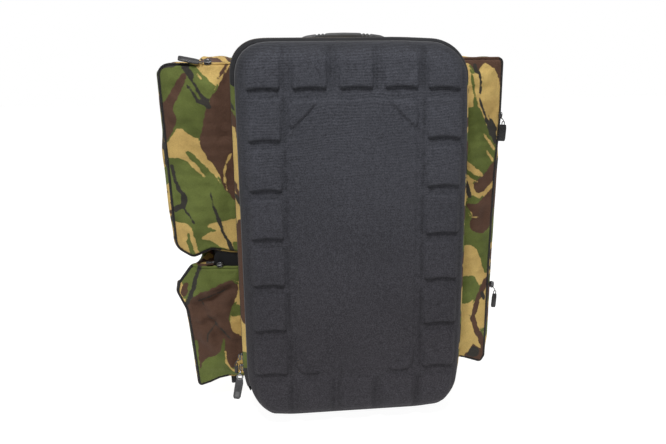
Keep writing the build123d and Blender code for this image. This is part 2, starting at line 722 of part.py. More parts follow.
with BuildPart() as belt_buckle_plug:
    with BuildSketch(belt_plane(BELT_HINGE_X)):
        with Locations((BELT_WEB_CENTRE_Y, (BUCKLE_BOTTOM + PRONG_LENGTH + buckle_top) / 2)):
            Rectangle(BUCKLE_WIDTH, buckle_top - BUCKLE_BOTTOM - PRONG_LENGTH)
        prong_z = BUCKLE_BOTTOM + PRONG_LENGTH / 2
        prong_reach = BUCKLE_WIDTH / 2 - PRONG_WIDTH
        for reach in (-prong_reach, 0, prong_reach):
            with Locations((BELT_WEB_CENTRE_Y + reach, prong_z + 1)):
                RectangleRounded(PRONG_WIDTH, PRONG_LENGTH + 2, PRONG_WIDTH / 3)
    extrude(amount=(BUCKLE_THICKNESS - 4) / 2, both=True)
save(belt_buckle_plug.part, "belt_buckle_plug")
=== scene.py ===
"""Looks of the tackle backpack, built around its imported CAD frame.

Shapes are worked out in millimetres in the row frame (X across, -Y front, Z up) and
are turned into metres when a mesh is made.
"""

import math

import bpy
import numpy as np
from mathutils import Matrix, Vector


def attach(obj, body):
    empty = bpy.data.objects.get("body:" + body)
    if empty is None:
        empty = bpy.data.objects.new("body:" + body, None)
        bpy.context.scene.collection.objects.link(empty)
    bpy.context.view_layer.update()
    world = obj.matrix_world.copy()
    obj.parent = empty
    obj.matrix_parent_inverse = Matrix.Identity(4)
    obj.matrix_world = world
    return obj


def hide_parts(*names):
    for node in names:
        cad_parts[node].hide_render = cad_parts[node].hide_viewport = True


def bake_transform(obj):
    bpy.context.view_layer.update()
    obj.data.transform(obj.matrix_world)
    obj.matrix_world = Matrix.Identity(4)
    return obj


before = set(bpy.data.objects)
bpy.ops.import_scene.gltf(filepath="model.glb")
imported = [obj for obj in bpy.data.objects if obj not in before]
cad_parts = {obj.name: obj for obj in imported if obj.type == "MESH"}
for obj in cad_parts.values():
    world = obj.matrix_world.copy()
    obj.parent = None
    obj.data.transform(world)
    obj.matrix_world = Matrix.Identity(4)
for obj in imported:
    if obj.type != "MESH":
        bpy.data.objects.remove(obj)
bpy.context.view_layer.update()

MM = 0.001
SIDES = ((-1, "left"), (1, "right"))
RIM_POINTS = 560


# ---------------------------------------------------------------- numbers on arrays


def smooth(low, high, value):
    """0 below low, 1 above high, and a smooth rise between them."""
    t = np.clip((value - low) / (high - low), 0, 1)
    return t * t * (3 - 2 * t)


def ripple(points, wavelength, seed):
    """Smooth random bumps between about -1 and 1, from a few plane waves."""
    waves = 9
    rng = np.random.default_rng(seed)
    points = np.asarray(points, float)
    total = np.zeros(len(points))
    for _ in range(waves):
        direction = rng.normal(size=points.shape[1])
        direction *= 2 * math.pi / (wavelength * rng.uniform(0.7, 1.6) * np.linalg.norm(direction))
        total += np.sin(points @ direction + rng.uniform(0, 2 * math.pi))
    return total / math.sqrt(waves)


def at_depth(flat, y):
    """3-D points from (x, z) pairs, all at one y."""
    return np.column_stack([flat[:, 0], np.full(len(flat), float(y)), flat[:, 1]])


def box_distance(points, centre, half, corner):
    """Signed distance from points to a rounded rectangle."""
    q = np.abs(points - centre) - (np.array(half) - corner)
    outside = np.linalg.norm(np.maximum(q, 0), axis=-1)
    return outside + np.minimum(q.max(-1), 0) - corner


# ---------------------------------------------------------------- making pieces


def piece(name, verts, faces, material, body=None, slot=None, replaces=(), flat=False):
    """A mesh object from points in millimetres, riding on a body and standing for CAD nodes."""
    mesh = bpy.data.meshes.new(name)
    mesh.from_pydata((np.asarray(verts, float) * MM).tolist(), [], [list(f) for f in faces])
    mesh.validate()
    mesh.update()
    if not flat:
        mesh.shade_smooth()
    thing = bpy.data.objects.new(name, mesh)
    bpy.context.scene.collection.objects.link(thing)
    mesh.materials.append(material)
    if body:
        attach(thing, body)
    if replaces:
        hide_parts(*replaces)
    return thing


def grid_faces(rows, columns, wrap_rows=False, wrap_columns=False):
    """Quads over a grid of points stored row by row."""
    r = np.arange(rows if wrap_rows else rows - 1)
    c = np.arange(columns if wrap_columns else columns - 1)
    r, c = np.meshgrid(r, c, indexing="ij")
    r, c = r.ravel(), c.ravel()
    below, right = (r + 1) % rows, (c + 1) % columns
    quads = np.stack(
        [r * columns + c, r * columns + right, below * columns + right, below * columns + c], 1
    )
    return quads.tolist()


class Parts:
    """Collects points and faces of several bits into one mesh."""

    def __init__(self):
        self.verts = []
        self.faces = []
        self.count = 0

    def add(self, verts, faces):
        """Takes in one more bit and gives itself back, so that calls can be chained."""
        self.verts.append(np.asarray(verts, float))
        self.faces += [[i + self.count for i in face] for face in faces]
        self.count += len(verts)
        return self

    def points(self):
        """All points so far."""
        return np.concatenate(self.verts)

    def piece(self, name, material, body=None, **about):
        """Everything so far as one piece."""
        return piece(name, self.points(), self.faces, material, body, **about)


def bevel(thing, width, segments=2, angle=35):
    """Soft edges on a hard piece."""
    modifier = thing.modifiers.new("soft_edges", "BEVEL")
    modifier.width = width * MM
    modifier.segments = segments
    modifier.limit_method = "ANGLE"
    modifier.angle_limit = math.radians(angle)


# ---------------------------------------------------------------- outlines


def arc_points(centre, radius, start, end, step):
    """Points on an arc, in degrees, both ends included."""
    count = max(2, int(abs(math.radians(end - start)) * radius / step) + 1)
    angle = np.radians(np.linspace(start, end, count))
    return np.stack([centre[0] + radius * np.cos(angle), centre[1] + radius * np.sin(angle)], 1)


def resample(line, step=None, closed=False, count=None):
    """Evenly spaced points along a line, by spacing or by number of gaps."""
    line = np.asarray(line, float)
    if closed:
        line = np.vstack([line, line[:1]])
    length = np.concatenate([[0], np.cumsum(np.linalg.norm(np.diff(line, axis=0), axis=1))])
    count = count or max(3, int(round(length[-1] / step)))
    at = np.linspace(0, length[-1], count + 1)
    out = np.stack([np.interp(at, length, line[:, k]) for k in range(line.shape[1])], 1)
    return out[:-1] if closed else out


def side_normals(line, closed=False):
    """Unit normals of a 2-D line, to the left of its direction."""
    if closed:
        tangent = np.roll(line, -1, 0) - np.roll(line, 1, 0)
    else:
        tangent = np.gradient(line, axis=0)
    tangent /= np.linalg.norm(tangent, axis=1)[:, None]
    return np.stack([-tangent[:, 1], tangent[:, 0]], 1)


def rim_arch(half_width, start, top, corner, count=RIM_POINTS, foot=3.0, heel=60.0):
    """Open line up the left side, over the top and down the right side, with outward normals."""
    inner = half_width - corner
    reach = (foot + heel - start) / heel
    left = [(-half_width, top - corner)]
    if reach > 0:
        turn = math.degrees(math.asin(reach))
        heel_centre = (-half_width + heel, foot + heel)
        left = np.vstack([arc_points(heel_centre, heel, 180 + turn, 180, 1.5), left])
    else:
        left = np.array([(-half_width, start), *left])
    line = np.vstack(
        [
            left,
            arc_points((-inner, top - corner), corner, 180, 90, 1.5),
            arc_points((inner, top - corner), corner, 90, 0, 1.5),
            left[::-1] * (-1, 1),
        ]
    )
    line = resample(line, count=count)
    return line, side_normals(line)


def rounded_polygon(corners, radii, step):
    """Closed outline with rounded corners, evenly spaced, and outward normals."""
    corners = np.array(corners, float)
    line = []
    for i, corner in enumerate(corners):
        before = corners[i - 1] - corner
        after = corners[(i + 1) % len(corners)] - corner
        before /= np.linalg.norm(before)
        after /= np.linalg.norm(after)
        half = math.acos(np.clip(before @ after, -1, 1)) / 2
        reach = radii[i] / math.tan(half)
        centre = corner + (before + after) / np.linalg.norm(before + after) * radii[i] / math.sin(half)
        a, b = corner + before * reach, corner + after * reach
        for t in np.linspace(0, 1, 9):
            point = a * (1 - t) + b * t - centre
            line.append(centre + point / np.linalg.norm(point) * radii[i])
    line = resample(np.array(line), step, closed=True)
    normals = side_normals(line, closed=True)
    x, z = line[:, 0], line[:, 1]
    area = np.sum(x * np.roll(z, -1) - np.roll(x, -1) * z)
    return line, normals * (-1 if area > 0 else 1)


def sweep(line, normals, profile, closed=False, closed_profile=False):
    """Points and faces of a profile of (outward, y) pairs carried along an (x, z) line."""
    profile = np.asarray(profile, float)
    out = line[:, None, :] + normals[:, None, :] * profile[None, :, :1]
    y = np.broadcast_to(profile[None, :, 1], out.shape[:2])
    verts = np.stack([out[..., 0], y, out[..., 1]], -1).reshape(-1, 3)
    faces = grid_faces(len(line), len(profile), wrap_rows=closed, wrap_columns=closed_profile)
    if closed_profile and not closed:
        faces.append(list(range(len(profile)))[::-1])
        last = (len(line) - 1) * len(profile)
        faces.append([last + i for i in range(len(profile))])
    return verts, faces


def swept(name, line, normals, profile, material, body, closed=False, **about):
    """A closed profile carried along a line, as a piece."""
    verts, faces = sweep(line, normals, profile, closed, closed_profile=True)
    return piece(name, verts, faces, material, body, **about)


def round_profile(centre, radius, sides):
    """Circle as (outward, y) pairs."""
    angle = np.linspace(0, 2 * math.pi, sides, endpoint=False)
    return np.stack([centre[0] + radius * np.cos(angle), centre[1] + radius * np.sin(angle)], 1)


def slab_profile(out_low, out_high, y_low, y_high, s):
    """Thin rectangle with corners clipped by s, as (outward, y) pairs."""
    return [
        (out_low + s, y_low), (out_high - s, y_low), (out_high, y_low + s), (out_high, y_high - s),
        (out_high - s, y_high), (out_low + s, y_high), (out_low, y_high - s), (out_low, y_low + s),
    ]


def zip_rows(parts, line, normals, base, rise, across, length, pitch, shift):
    """One row of coil teeth along a line. base, rise and across are (outward, y) pairs."""
    run = np.concatenate([[0], np.cumsum(np.linalg.norm(np.diff(line, axis=0), axis=1))])
    at = np.arange(pitch / 2 + shift, run[-1] - pitch / 2, pitch)
    centre = np.stack([np.interp(at, run, line[:, k]) for k in (0, 1)], 1)
    normal = np.stack([np.interp(at, run, normals[:, k]) for k in (0, 1)], 1)
    normal /= np.linalg.norm(normal, axis=1)[:, None]
    along = np.stack([normal[:, 1], -normal[:, 0]], 1)
    ring = [(-0.31, 0.0), (-0.2, 1.0), (0.2, 1.0), (0.31, 0.0)]
    shape = []
    for reach, swell in ((0.0, 0.6), (0.3, 1.0), (1.0, 0.85)):
        for side, lift in ring:
            point = np.array(base) + np.array(rise) * lift * swell + np.array(across) * reach * length
            shape.append((side * pitch, *point))
    shape = np.array(shape)
    faces = grid_faces(3, 4) + [[0, 3, 2, 1], [8, 9, 10, 11]]
    for c, n, a in zip(centre, normal, along):
        flat = c + shape[:, :1] * a + shape[:, 1:2] * n
        parts.add(np.stack([flat[:, 0], shape[:, 2], flat[:, 1]], 1), faces)


# ---------------------------------------------------------------- sheets


def sheet_stations(low, high, corner, step):
    """Positions along one side of a rounded rectangle, with the corners' share marked off."""
    n_corner = max(3, int(round(corner * 1.15 / step)))
    n_side = max(2, int(round((high - low - 2 * corner) / step)))
    return np.concatenate(
        [
            np.linspace(low, low + corner, n_corner + 1)[:-1],
            np.linspace(low + corner, high - corner, n_side + 1)[:-1],
            np.linspace(high - corner, high, n_corner + 1),
        ]
    )


def panel(half_width, bottom, top, corner, edge, step, centre_x=0.0):
    """Rounded sheet: rings that follow the (inset, y) pairs of its edge, then an even grid."""
    edge = list(edge)
    inset, inner_y = edge[-1]
    r = corner - inset
    w, low, high = half_width - inset, bottom + inset, top - inset
    x, z = np.meshgrid(sheet_stations(-w, w, r, step), sheet_stations(low, high, r, step))
    for side in (-1, 1):
        for centre_z, lift in ((low + r, -1), (high - r, 1)):
            a = (x - side * (w - r)) * side / r
            b = (z - centre_z) * lift / r
            here = (a > 0) & (b > 0)
            bent_x = side * (w - r) + side * r * a * np.sqrt(np.maximum(1 - b * b / 2, 0))
            bent_z = centre_z + lift * r * b * np.sqrt(np.maximum(1 - a * a / 2, 0))
            x[here], z[here] = bent_x[here], bent_z[here]
    rows, columns = x.shape
    index = np.arange(rows * columns).reshape(rows, columns)
    loop = np.concatenate([index[0, :-1], index[:-1, -1], index[-1, :0:-1], index[:0:-1, 0]])
    flat = np.stack([x.ravel(), z.ravel()], 1)
    rim = flat[loop]
    core = np.stack([np.clip(rim[:, 0], -w + r, w - r), np.clip(rim[:, 1], low + r, high - r)], 1)
    outward = (rim - core) / np.linalg.norm(rim - core, axis=1)[:, None]
    verts = [at_depth(flat, inner_y)]
    faces = grid_faces(rows, columns)
    start, last = len(flat), loop
    for ring_inset, ring_y in edge[-2::-1]:
        ring = rim + outward * (inset - ring_inset)
        verts.append(at_depth(ring, ring_y))
        here = np.arange(len(loop)) + start
        faces += np.stack([last, here, np.roll(here, -1), np.roll(last, -1)], 1).tolist()
        start, last = start + len(loop), here
    verts = np.concatenate(verts)
    verts[:, 0] += centre_x
    return verts, faces


def superellipse_edge(depth, start_y, end_y, power, count, lead=()):
    """(inset, y) pairs of a rounded edge that starts square to the sheet and ends level with it."""
    turn = np.linspace(0, math.pi / 2, count)
    inset = depth * (1 - np.cos(turn) ** (2 / power))
    rise = np.sin(turn) ** (2 / power)
    return [*lead, *zip(inset.tolist(), (start_y + (end_y - start_y) * rise).tolist())]


def outline_distance(points, outline):
    """Signed distance to a closed outline, positive inside."""
    a, b = outline, np.roll(outline, -1, 0)
    best = np.full(len(points), 1e9)
    inside = np.zeros(len(points), bool)
    for p, q in zip(a, b):
        d = q - p
        t = np.clip((points - p) @ d / (d @ d + 1e-12), 0, 1)
        best = np.minimum(best, np.linalg.norm(points - p - t[:, None] * d, axis=1))
        crosses = (p[1] > points[:, 1]) != (q[1] > points[:, 1])
        at = p[0] + (points[:, 1] - p[1]) * d[0] / (d[1] if abs(d[1]) > 1e-9 else 1e-9)
        inside ^= crosses & (points[:, 0] < at)
    return np.where(inside, best, -best)


def fill(outline, step):
    """Even triangles inside an outline. The outline's own points come first."""
    from mathutils.geometry import delaunay_2d_cdt

    low, high = outline.min(0), outline.max(0)
    rows = np.arange(low[1], high[1], step * 0.866)
    inner = []
    for i, z in enumerate(rows):
        x = np.arange(low[0] + (i % 2) * step / 2, high[0], step)
        inner.append(np.stack([x, np.full(len(x), z)], 1))
    inner = np.concatenate(inner)
    inner = inner[outline_distance(inner, outline) > step * 0.6]
    points = np.concatenate([outline, inner])
    edges = [(i, (i + 1) % len(outline)) for i in range(len(outline))]
    verts, _, faces, *_ = delaunay_2d_cdt([Vector(p) for p in points], edges, [], 1, 1e-4)
    return np.array([tuple(v) for v in verts]), [list(f) for f in faces]


# ---------------------------------------------------------------- camouflage


def chaikin(line, rounds=2):
    """Smooths a closed line by cutting its corners."""
    line = np.asarray(line, float)
    for _ in range(rounds):
        after = np.roll(line, -1, 0)
        line = np.stack([line * 0.75 + after * 0.25, line * 0.25 + after * 0.75], 1).reshape(-1, 2)
    return line


def patch(*corners):
    """A blob of print: negative inside."""
    outline = chaikin(corners)
    return lambda points: -outline_distance(points, outline)


def stroke(*stations):
    """A tapering stroke of print through (x, z, half width) stations."""
    line = np.array(stations, float)

    def distance(points):
        best = np.full(len(points), 1e9)
        for a, b in zip(line[:-1], line[1:]):
            d = b[:2] - a[:2]
            t = np.clip((points - a[:2]) @ d / (d @ d + 1e-9), 0, 1)
            gap = np.linalg.norm(points - a[:2] - t[:, None] * d, axis=1)
            best = np.minimum(best, gap - (a[2] + (b[2] - a[2]) * t))
        return best

    return distance


def paint(thing, print_layers):
    """Stores each colour's signed distance on a mesh, for the camouflage material to read."""
    points = np.array([(v.co.x, v.co.z) for v in thing.data.vertices]) / MM
    layers = {}
    for name, shapes in print_layers.items():
        best = np.full(len(points), 60.0)
        for shape in shapes:
            best = np.minimum(best, shape(points))
        layers[name] = best
    green, brown = layers["green"], layers["brown"]
    layers["green"] = np.minimum(green, np.maximum(green - 5, brown - 3))
    for name, best in layers.items():
        attribute = thing.data.attributes.new(f"camo_{name}", "FLOAT", "POINT")
        attribute.data.foreach_set("value", best.astype(np.float32))


PRINT_LEFT_UPPER = {
    "green": [
        patch((-298, 584), (-237, 575), (-226, 560), (-215, 548), (-202, 538), (-209, 522), (-221, 506),
              (-227, 485), (-234, 455), (-251, 468), (-271, 480), (-299, 440)),
        patch((-294, 429), (-281, 429), (-269, 430), (-257, 424), (-245, 412), (-228, 394), (-210, 392),
              (-200, 379), (-193, 371), (-187, 360), (-170, 358), (-170, 327), (-189, 327), (-206, 325),
              (-219, 323), (-232, 317), (-220, 313), (-212, 309), (-228, 308), (-242, 296), (-229, 294),
              (-219, 287), (-210, 280), (-196, 273), (-210, 254), (-240, 254), (-245, 267), (-248, 287),
              (-252, 308), (-257, 322), (-280, 325), (-298, 325)),
        patch((-259, 440), (-251, 428), (-242, 419), (-233, 407), (-226, 396), (-219, 384), (-200, 376),
              (-205, 388), (-219, 407), (-231, 420), (-243, 432), (-252, 441)),
        patch((-192, 290), (-180, 287), (-168, 292), (-168, 258), (-190, 260), (-188, 272)),
        stroke((-260, 305, 2), (-260, 292, 4), (-258, 280, 4), (-255, 266, 4)),
    ],
    "brown": [
        patch((-252, 563), (-246, 555), (-259, 530), (-270, 511), (-272, 503), (-266, 492), (-269, 480),
              (-281, 458), (-294, 452), (-294, 508), (-278, 523), (-267, 541)),
        patch((-182, 570), (-195, 549), (-204, 533), (-214, 520), (-221, 504), (-228, 475), (-233, 460),
              (-232, 447), (-226, 433), (-217, 419), (-208, 406), (-204, 391), (-200, 379), (-193, 371),
              (-187, 358), (-168, 356), (-166, 574)),
        stroke((-199, 552, 2.2), (-187, 570, 2.4)),
    ],
    "tan": [
        stroke((-187, 433, 1.8), (-195, 415, 1.7), (-198, 399, 1.6), (-197, 386, 1.6), (-194, 374, 0.8)),
        stroke((-233, 560, 0.9), (-226, 550, 0.9)),
    ],
    "black": [
        stroke((-246, 576, 3), (-249, 566, 5), (-242, 557, 5), (-239, 546, 2), (-232, 533, 2),
               (-226, 524, 2.4), (-219, 516, 5.5)),
        stroke((-244, 537, 1), (-238, 526, 2), (-233, 517, 2.4), (-225, 514, 3.6), (-216, 508, 3.4)),
        stroke((-248, 541, 0.9), (-247, 537, 0.9)),
        stroke((-292, 569, 4), (-276, 572, 5), (-262, 573, 3)),
        stroke((-221, 374, 0.7), (-218, 350, 1.9), (-212, 333, 3), (-207, 314, 2.4), (-203, 301, 2.4),
               (-196, 287, 2.8), (-192, 274, 3.6), (-189, 262, 3.6)),
        stroke((-280, 416, 3), (-275, 391, 3), (-270, 377, 3.2), (-264, 371, 4.2), (-263, 361, 4.8),
               (-267, 351, 5), (-280, 346, 4.6)),
        stroke((-265, 347, 1.8), (-257, 336, 1.6), (-249, 322, 1.4)),
    ],
}

PRINT_AND_CREASE_SHADE_LEFT_LOWER = {
    "green": [
        patch((-284, 224), (-266, 246), (-252, 262), (-172, 264), (-172, 222), (-188, 219), (-199, 226),
              (-217, 220), (-234, 214), (-248, 207), (-258, 200), (-270, 183), (-276, 188), (-265, 208),
              (-267, 222)),
        patch((-199, 176), (-181, 181), (-180, 158), (-202, 159)),
        patch((-270, 214), (-198, 236), (-202, 160), (-208, 128), (-208, 62), (-262, 40), (-276, 90),
              (-270, 150), (-274, 186)),
        patch((-272, 124), (-260, 110), (-257, 90), (-257, 58), (-250, 72), (-243, 83), (-227, 88),
              (-217, 99), (-215, 112), (-212, 128), (-209, 110), (-208, 90), (-206, 72), (-196, 61),
              (-178, 51), (-178, 24), (-278, 22)),
    ],
    "brown": [
        patch((-200, 225), (-190, 221), (-184, 208), (-189, 191), (-197, 173), (-203, 159), (-200, 146),
              (-196, 130), (-183, 124), (-174, 100), (-187, 88), (-193, 78), (-197, 67), (-206, 69),
              (-210, 87), (-212, 105), (-212, 124), (-216, 112), (-218, 99), (-227, 89), (-236, 88),
              (-245, 84), (-252, 75), (-256, 60), (-257, 80), (-257, 97), (-255, 114), (-261, 121),
              (-268, 141), (-272, 162), (-275, 181), (-265, 193), (-254, 202), (-241, 209), (-226, 215),
              (-213, 219)),
        patch((-275, 219), (-265, 222), (-268, 206), (-274, 192), (-282, 203)),
        patch((-280, 184), (-262, 187), (-256, 122), (-268, 112), (-276, 130), (-278, 156)),
        stroke((-262, 28, 2), (-246, 34, 2.4), (-232, 38, 1)),
    ],
    "tan": [
        stroke((-283, 222, 3), (-285, 206, 3), (-277, 190, 2)),
        stroke((-277, 192, 2.5), (-273, 180, 1.5)),
        stroke((-211, 98, 1.0), (-210, 81, 1.5), (-205, 68, 1.8), (-198, 61, 2.2), (-188, 57, 3),
               (-178, 58, 4)),
        patch((-203, 158), (-182, 157), (-178, 138), (-190, 128), (-197, 132), (-199, 144)),
    ],
    "black": [
        stroke((-246, 248, 3), (-254, 226, 3.4), (-261, 204, 3.6), (-268, 190, 3.4), (-274, 180, 3)),
        # painted crease shadows: thin dark lines along the folds of the lower pocket's front, in the
        # print's black
        stroke((-253, 189, 0.7), (-237, 194, 1.2), (-212, 204, 1.2), (-192, 215, 0.7)),
        stroke((-245, 186, 0.6), (-237, 164, 1.1), (-223, 149, 1.3), (-202, 120, 0.8)),
        stroke((-223, 149, 1.0), (-239, 132, 0.9), (-240, 116, 0.5)),
    ],
}

PRINT_RIGHT = {
    "green": [
        stroke((200, 560, 1.6), (203, 540, 2), (207, 519, 2.4), (209, 498, 4)),
        patch((184, 498), (214, 502), (222, 489), (229, 473), (238, 457), (256, 440), (256, 411),
              (239, 398), (230, 391), (219, 393), (210, 402), (198, 414), (184, 424)),
        patch((190, 405), (209, 392), (223, 383), (216, 376), (204, 383), (188, 396)),
        patch((205, 356), (217, 350), (230, 347), (221, 339), (209, 339), (200, 346)),
        patch((188, 352), (204, 325), (209, 306), (211, 293), (220, 286), (234, 286), (246, 297),
              (262, 302), (262, 256), (248, 236), (242, 210), (235, 226), (229, 245), (222, 259),
              (213, 267), (190, 268)),
        patch((194, 213), (216, 214), (224, 206), (229, 195), (230, 182), (223, 169), (210, 163),
              (194, 162)),
        stroke((242, 111, 3), (247, 98, 3)),
    ],
    "brown": [
        patch((180, 586), (262, 586), (262, 528), (251, 532), (249, 544), (243, 556), (235, 563),
              (225, 570), (217, 563), (210, 551), (203, 558), (200, 568), (180, 572)),
        patch((246, 411), (262, 408), (258, 383), (244, 375), (234, 363), (224, 357), (213, 362),
              (210, 373), (217, 381), (227, 387), (236, 397)),
        patch((254, 374), (262, 352), (253, 325), (248, 304), (240, 292), (226, 287), (212, 293),
              (207, 304), (211, 316), (207, 328), (200, 342), (214, 338), (227, 346), (240, 360)),
        stroke((244, 203, 5.5), (235, 184, 5.5), (228, 167, 5), (224, 150, 5), (220, 134, 4.6),
               (226, 115, 5), (235, 98, 5.5), (243, 80, 5), (247, 58, 6)),
        patch((205, 60), (218, 75), (225, 86), (232, 77), (246, 70), (250, 46), (226, 52)),
    ],
    "tan": [
        stroke((226, 456, 1.2), (235, 443, 2.2), (247, 430, 2.8)),
        stroke((231, 430, 1.4), (237, 421, 2), (244, 411, 2)),
        stroke((195, 412, 2), (207, 402, 2.6), (216, 395, 3), (226, 387, 2)),
        stroke((196, 390, 1.2), (206, 382, 1.6), (216, 378, 1.2)),
        stroke((210, 318, 1.2), (222, 316, 1.2)),
    ],
    "black": [
        stroke((206, 566, 3), (208, 556, 3.6)),
        stroke((213, 556, 1.6), (217, 540, 2), (217, 521, 1.6)),
        stroke((215, 514, 1), (221, 498, 2), (227, 484, 2.6), (234, 471, 4), (241, 459, 6),
               (247, 442, 3)),
        stroke((232, 486, 1), (241, 473, 2), (246, 464, 3)),
        stroke((198, 380, 3), (202, 363, 4), (206, 352, 3)),
        stroke((235, 180, 3), (240, 168, 3)),
        stroke((210, 141, 1.4), (218, 139, 1.2)),
        patch((212, 67), (225, 83), (238, 69), (233, 57), (214, 60)),
    ],
}

PRINT_LID_SIDE = {
    "green": [
        patch((-186, 545), (-160, 545), (-160, 500), (-186, 492)),
        patch((-186, 122), (-160, 118), (-160, 40), (-186, 40)),
    ],
    "brown": [
        patch((-186, 512), (-175, 500), (-160, 470), (-186, 452)),
        patch((-186, 336), (-160, 346), (-160, 172), (-186, 166)),
        stroke((-182, 398, 3), (-172, 372, 3)),
    ],
    "tan": [
        stroke((-178, 478, 3.5), (-177, 462, 3.5)),
    ],
    "black": [
        stroke((-184, 382, 2), (-168, 362, 5)),
        stroke((-182, 520, 1.5), (-176, 506, 2)),
    ],
}


# ---------------------------------------------------------------- materials


def linear(red, green, blue):
    """Colour on screen, 0 to 255, as light."""
    value = np.array([red, green, blue]) / 255
    light = np.where(value <= 0.04045, value / 12.92, ((value + 0.055) / 1.055) ** 2.4)
    return (*light.tolist(), 1.0)


class Shade:
    """A procedural material while it is put together."""

    def __init__(self, name, roughness=0.8, metallic=0.0, specular=0.3, sheen=0.0):
        self.material = bpy.data.materials.new(name)
        self.material.use_nodes = True
        self.tree = self.material.node_tree
        self.surface = self.tree.nodes["Principled BSDF"]
        self.surface.inputs["Roughness"].default_value = roughness
        self.surface.inputs["Metallic"].default_value = metallic
        self.surface.inputs["Specular IOR Level"].default_value = specular
        self.surface.inputs["Sheen Weight"].default_value = sheen
        self.surface.inputs["Sheen Roughness"].default_value = 0.5
        self.place = self.tree.nodes.new("ShaderNodeTexCoord").outputs["Object"]

    def put(self, value, socket):
        """Links an output, or sets a constant."""
        if isinstance(value, bpy.types.NodeSocket):
            self.tree.links.new(value, socket)
        else:
            socket.default_value = value

    def math(self, operation, *values):
        """One math node over outputs or constants."""
        node = self.tree.nodes.new("ShaderNodeMath")
        node.operation = operation
        for value, socket in zip(values, node.inputs):
            self.put(value, socket)
        return node.outputs[0]

    def noise(self, size, detail=2.0, roughness=0.5, distortion=0.0, stretch=(1, 1, 1)):
        """Noise with features about that many millimetres across."""
        node = self.tree.nodes.new("ShaderNodeTexNoise")
        self.put(self.scaled(stretch), node.inputs["Vector"])
        node.inputs["Scale"].default_value = 1000 / size
        node.inputs["Detail"].default_value = detail
        node.inputs["Roughness"].default_value = roughness
        node.inputs["Distortion"].default_value = distortion
        return node.outputs["Fac"]

    def scaled(self, factors):
        """The place on the object, stretched along each axis."""
        if tuple(factors) == (1, 1, 1):
            return self.place
        node = self.tree.nodes.new("ShaderNodeVectorMath")
        node.operation = "MULTIPLY"
        self.put(self.place, node.inputs[0])
        node.inputs[1].default_value = factors
        return node.outputs[0]

    def span(self, value, low, high, to_low=0.0, to_high=1.0):
        """A smooth step from one range to another."""
        node = self.tree.nodes.new("ShaderNodeMapRange")
        node.interpolation_type = "SMOOTHSTEP"
        for each, socket in zip((value, low, high, to_low, to_high), node.inputs):
            self.put(each, socket)
        return node.outputs[0]

    def mix(self, factor, first, second):
        """The first colour at factor 0, the second at 1."""
        node = self.tree.nodes.new("ShaderNodeMix")
        node.data_type = "RGBA"
        self.put(factor, node.inputs[0])
        self.put(first, node.inputs[6])
        self.put(second, node.inputs[7])
        return node.outputs[2]

    def brightness(self, colour, factor):
        """Colour times a factor."""
        node = self.tree.nodes.new("ShaderNodeMix")
        node.data_type = "RGBA"
        node.blend_type = "MULTIPLY"
        node.inputs[0].default_value = 1.0
        self.put(colour, node.inputs[6])
        grey = self.tree.nodes.new("ShaderNodeCombineColor")
        for socket in grey.inputs[:3]:
            self.put(factor, socket)
        self.put(grey.outputs[0], node.inputs[7])
        return node.outputs[2]

    def threads(self, pitch):
        """Crossing threads of a weave, about -3 to 3, on faces that look any way."""
        split = self.tree.nodes.new("ShaderNodeSeparateXYZ")
        self.put(self.place, split.inputs[0])
        total = None
        for axis in "XYZ":
            turn = self.math("MULTIPLY", split.outputs[axis], 2000 * math.pi / pitch)
            wave = self.math("SINE", turn)
            total = wave if total is None else self.math("ADD", total, wave)
        return total

    def bump(self, height, depth, under=None):
        """Raises the surface by height times depth millimetres."""
        node = self.tree.nodes.new("ShaderNodeBump")
        node.inputs["Strength"].default_value = 1.0
        node.inputs["Distance"].default_value = depth * MM
        self.put(height, node.inputs["Height"])
        if under is not None:
            self.put(under, node.inputs["Normal"])
        return node.outputs[0]

    def done(self, colour, normal=None, roughness=None):
        """Joins what was made to the surface and gives the material."""
        self.put(colour, self.surface.inputs["Base Color"])
        if normal is not None:
            self.put(normal, self.surface.inputs["Normal"])
        if roughness is not None:
            self.put(roughness, self.surface.inputs["Roughness"])
        return self.material


CAMO_TAN = linear(206, 176, 107)
CAMO_GREEN = linear(104, 114, 58)
CAMO_BROWN = linear(88, 64, 51)
CAMO_BLACK = linear(58, 55, 50)


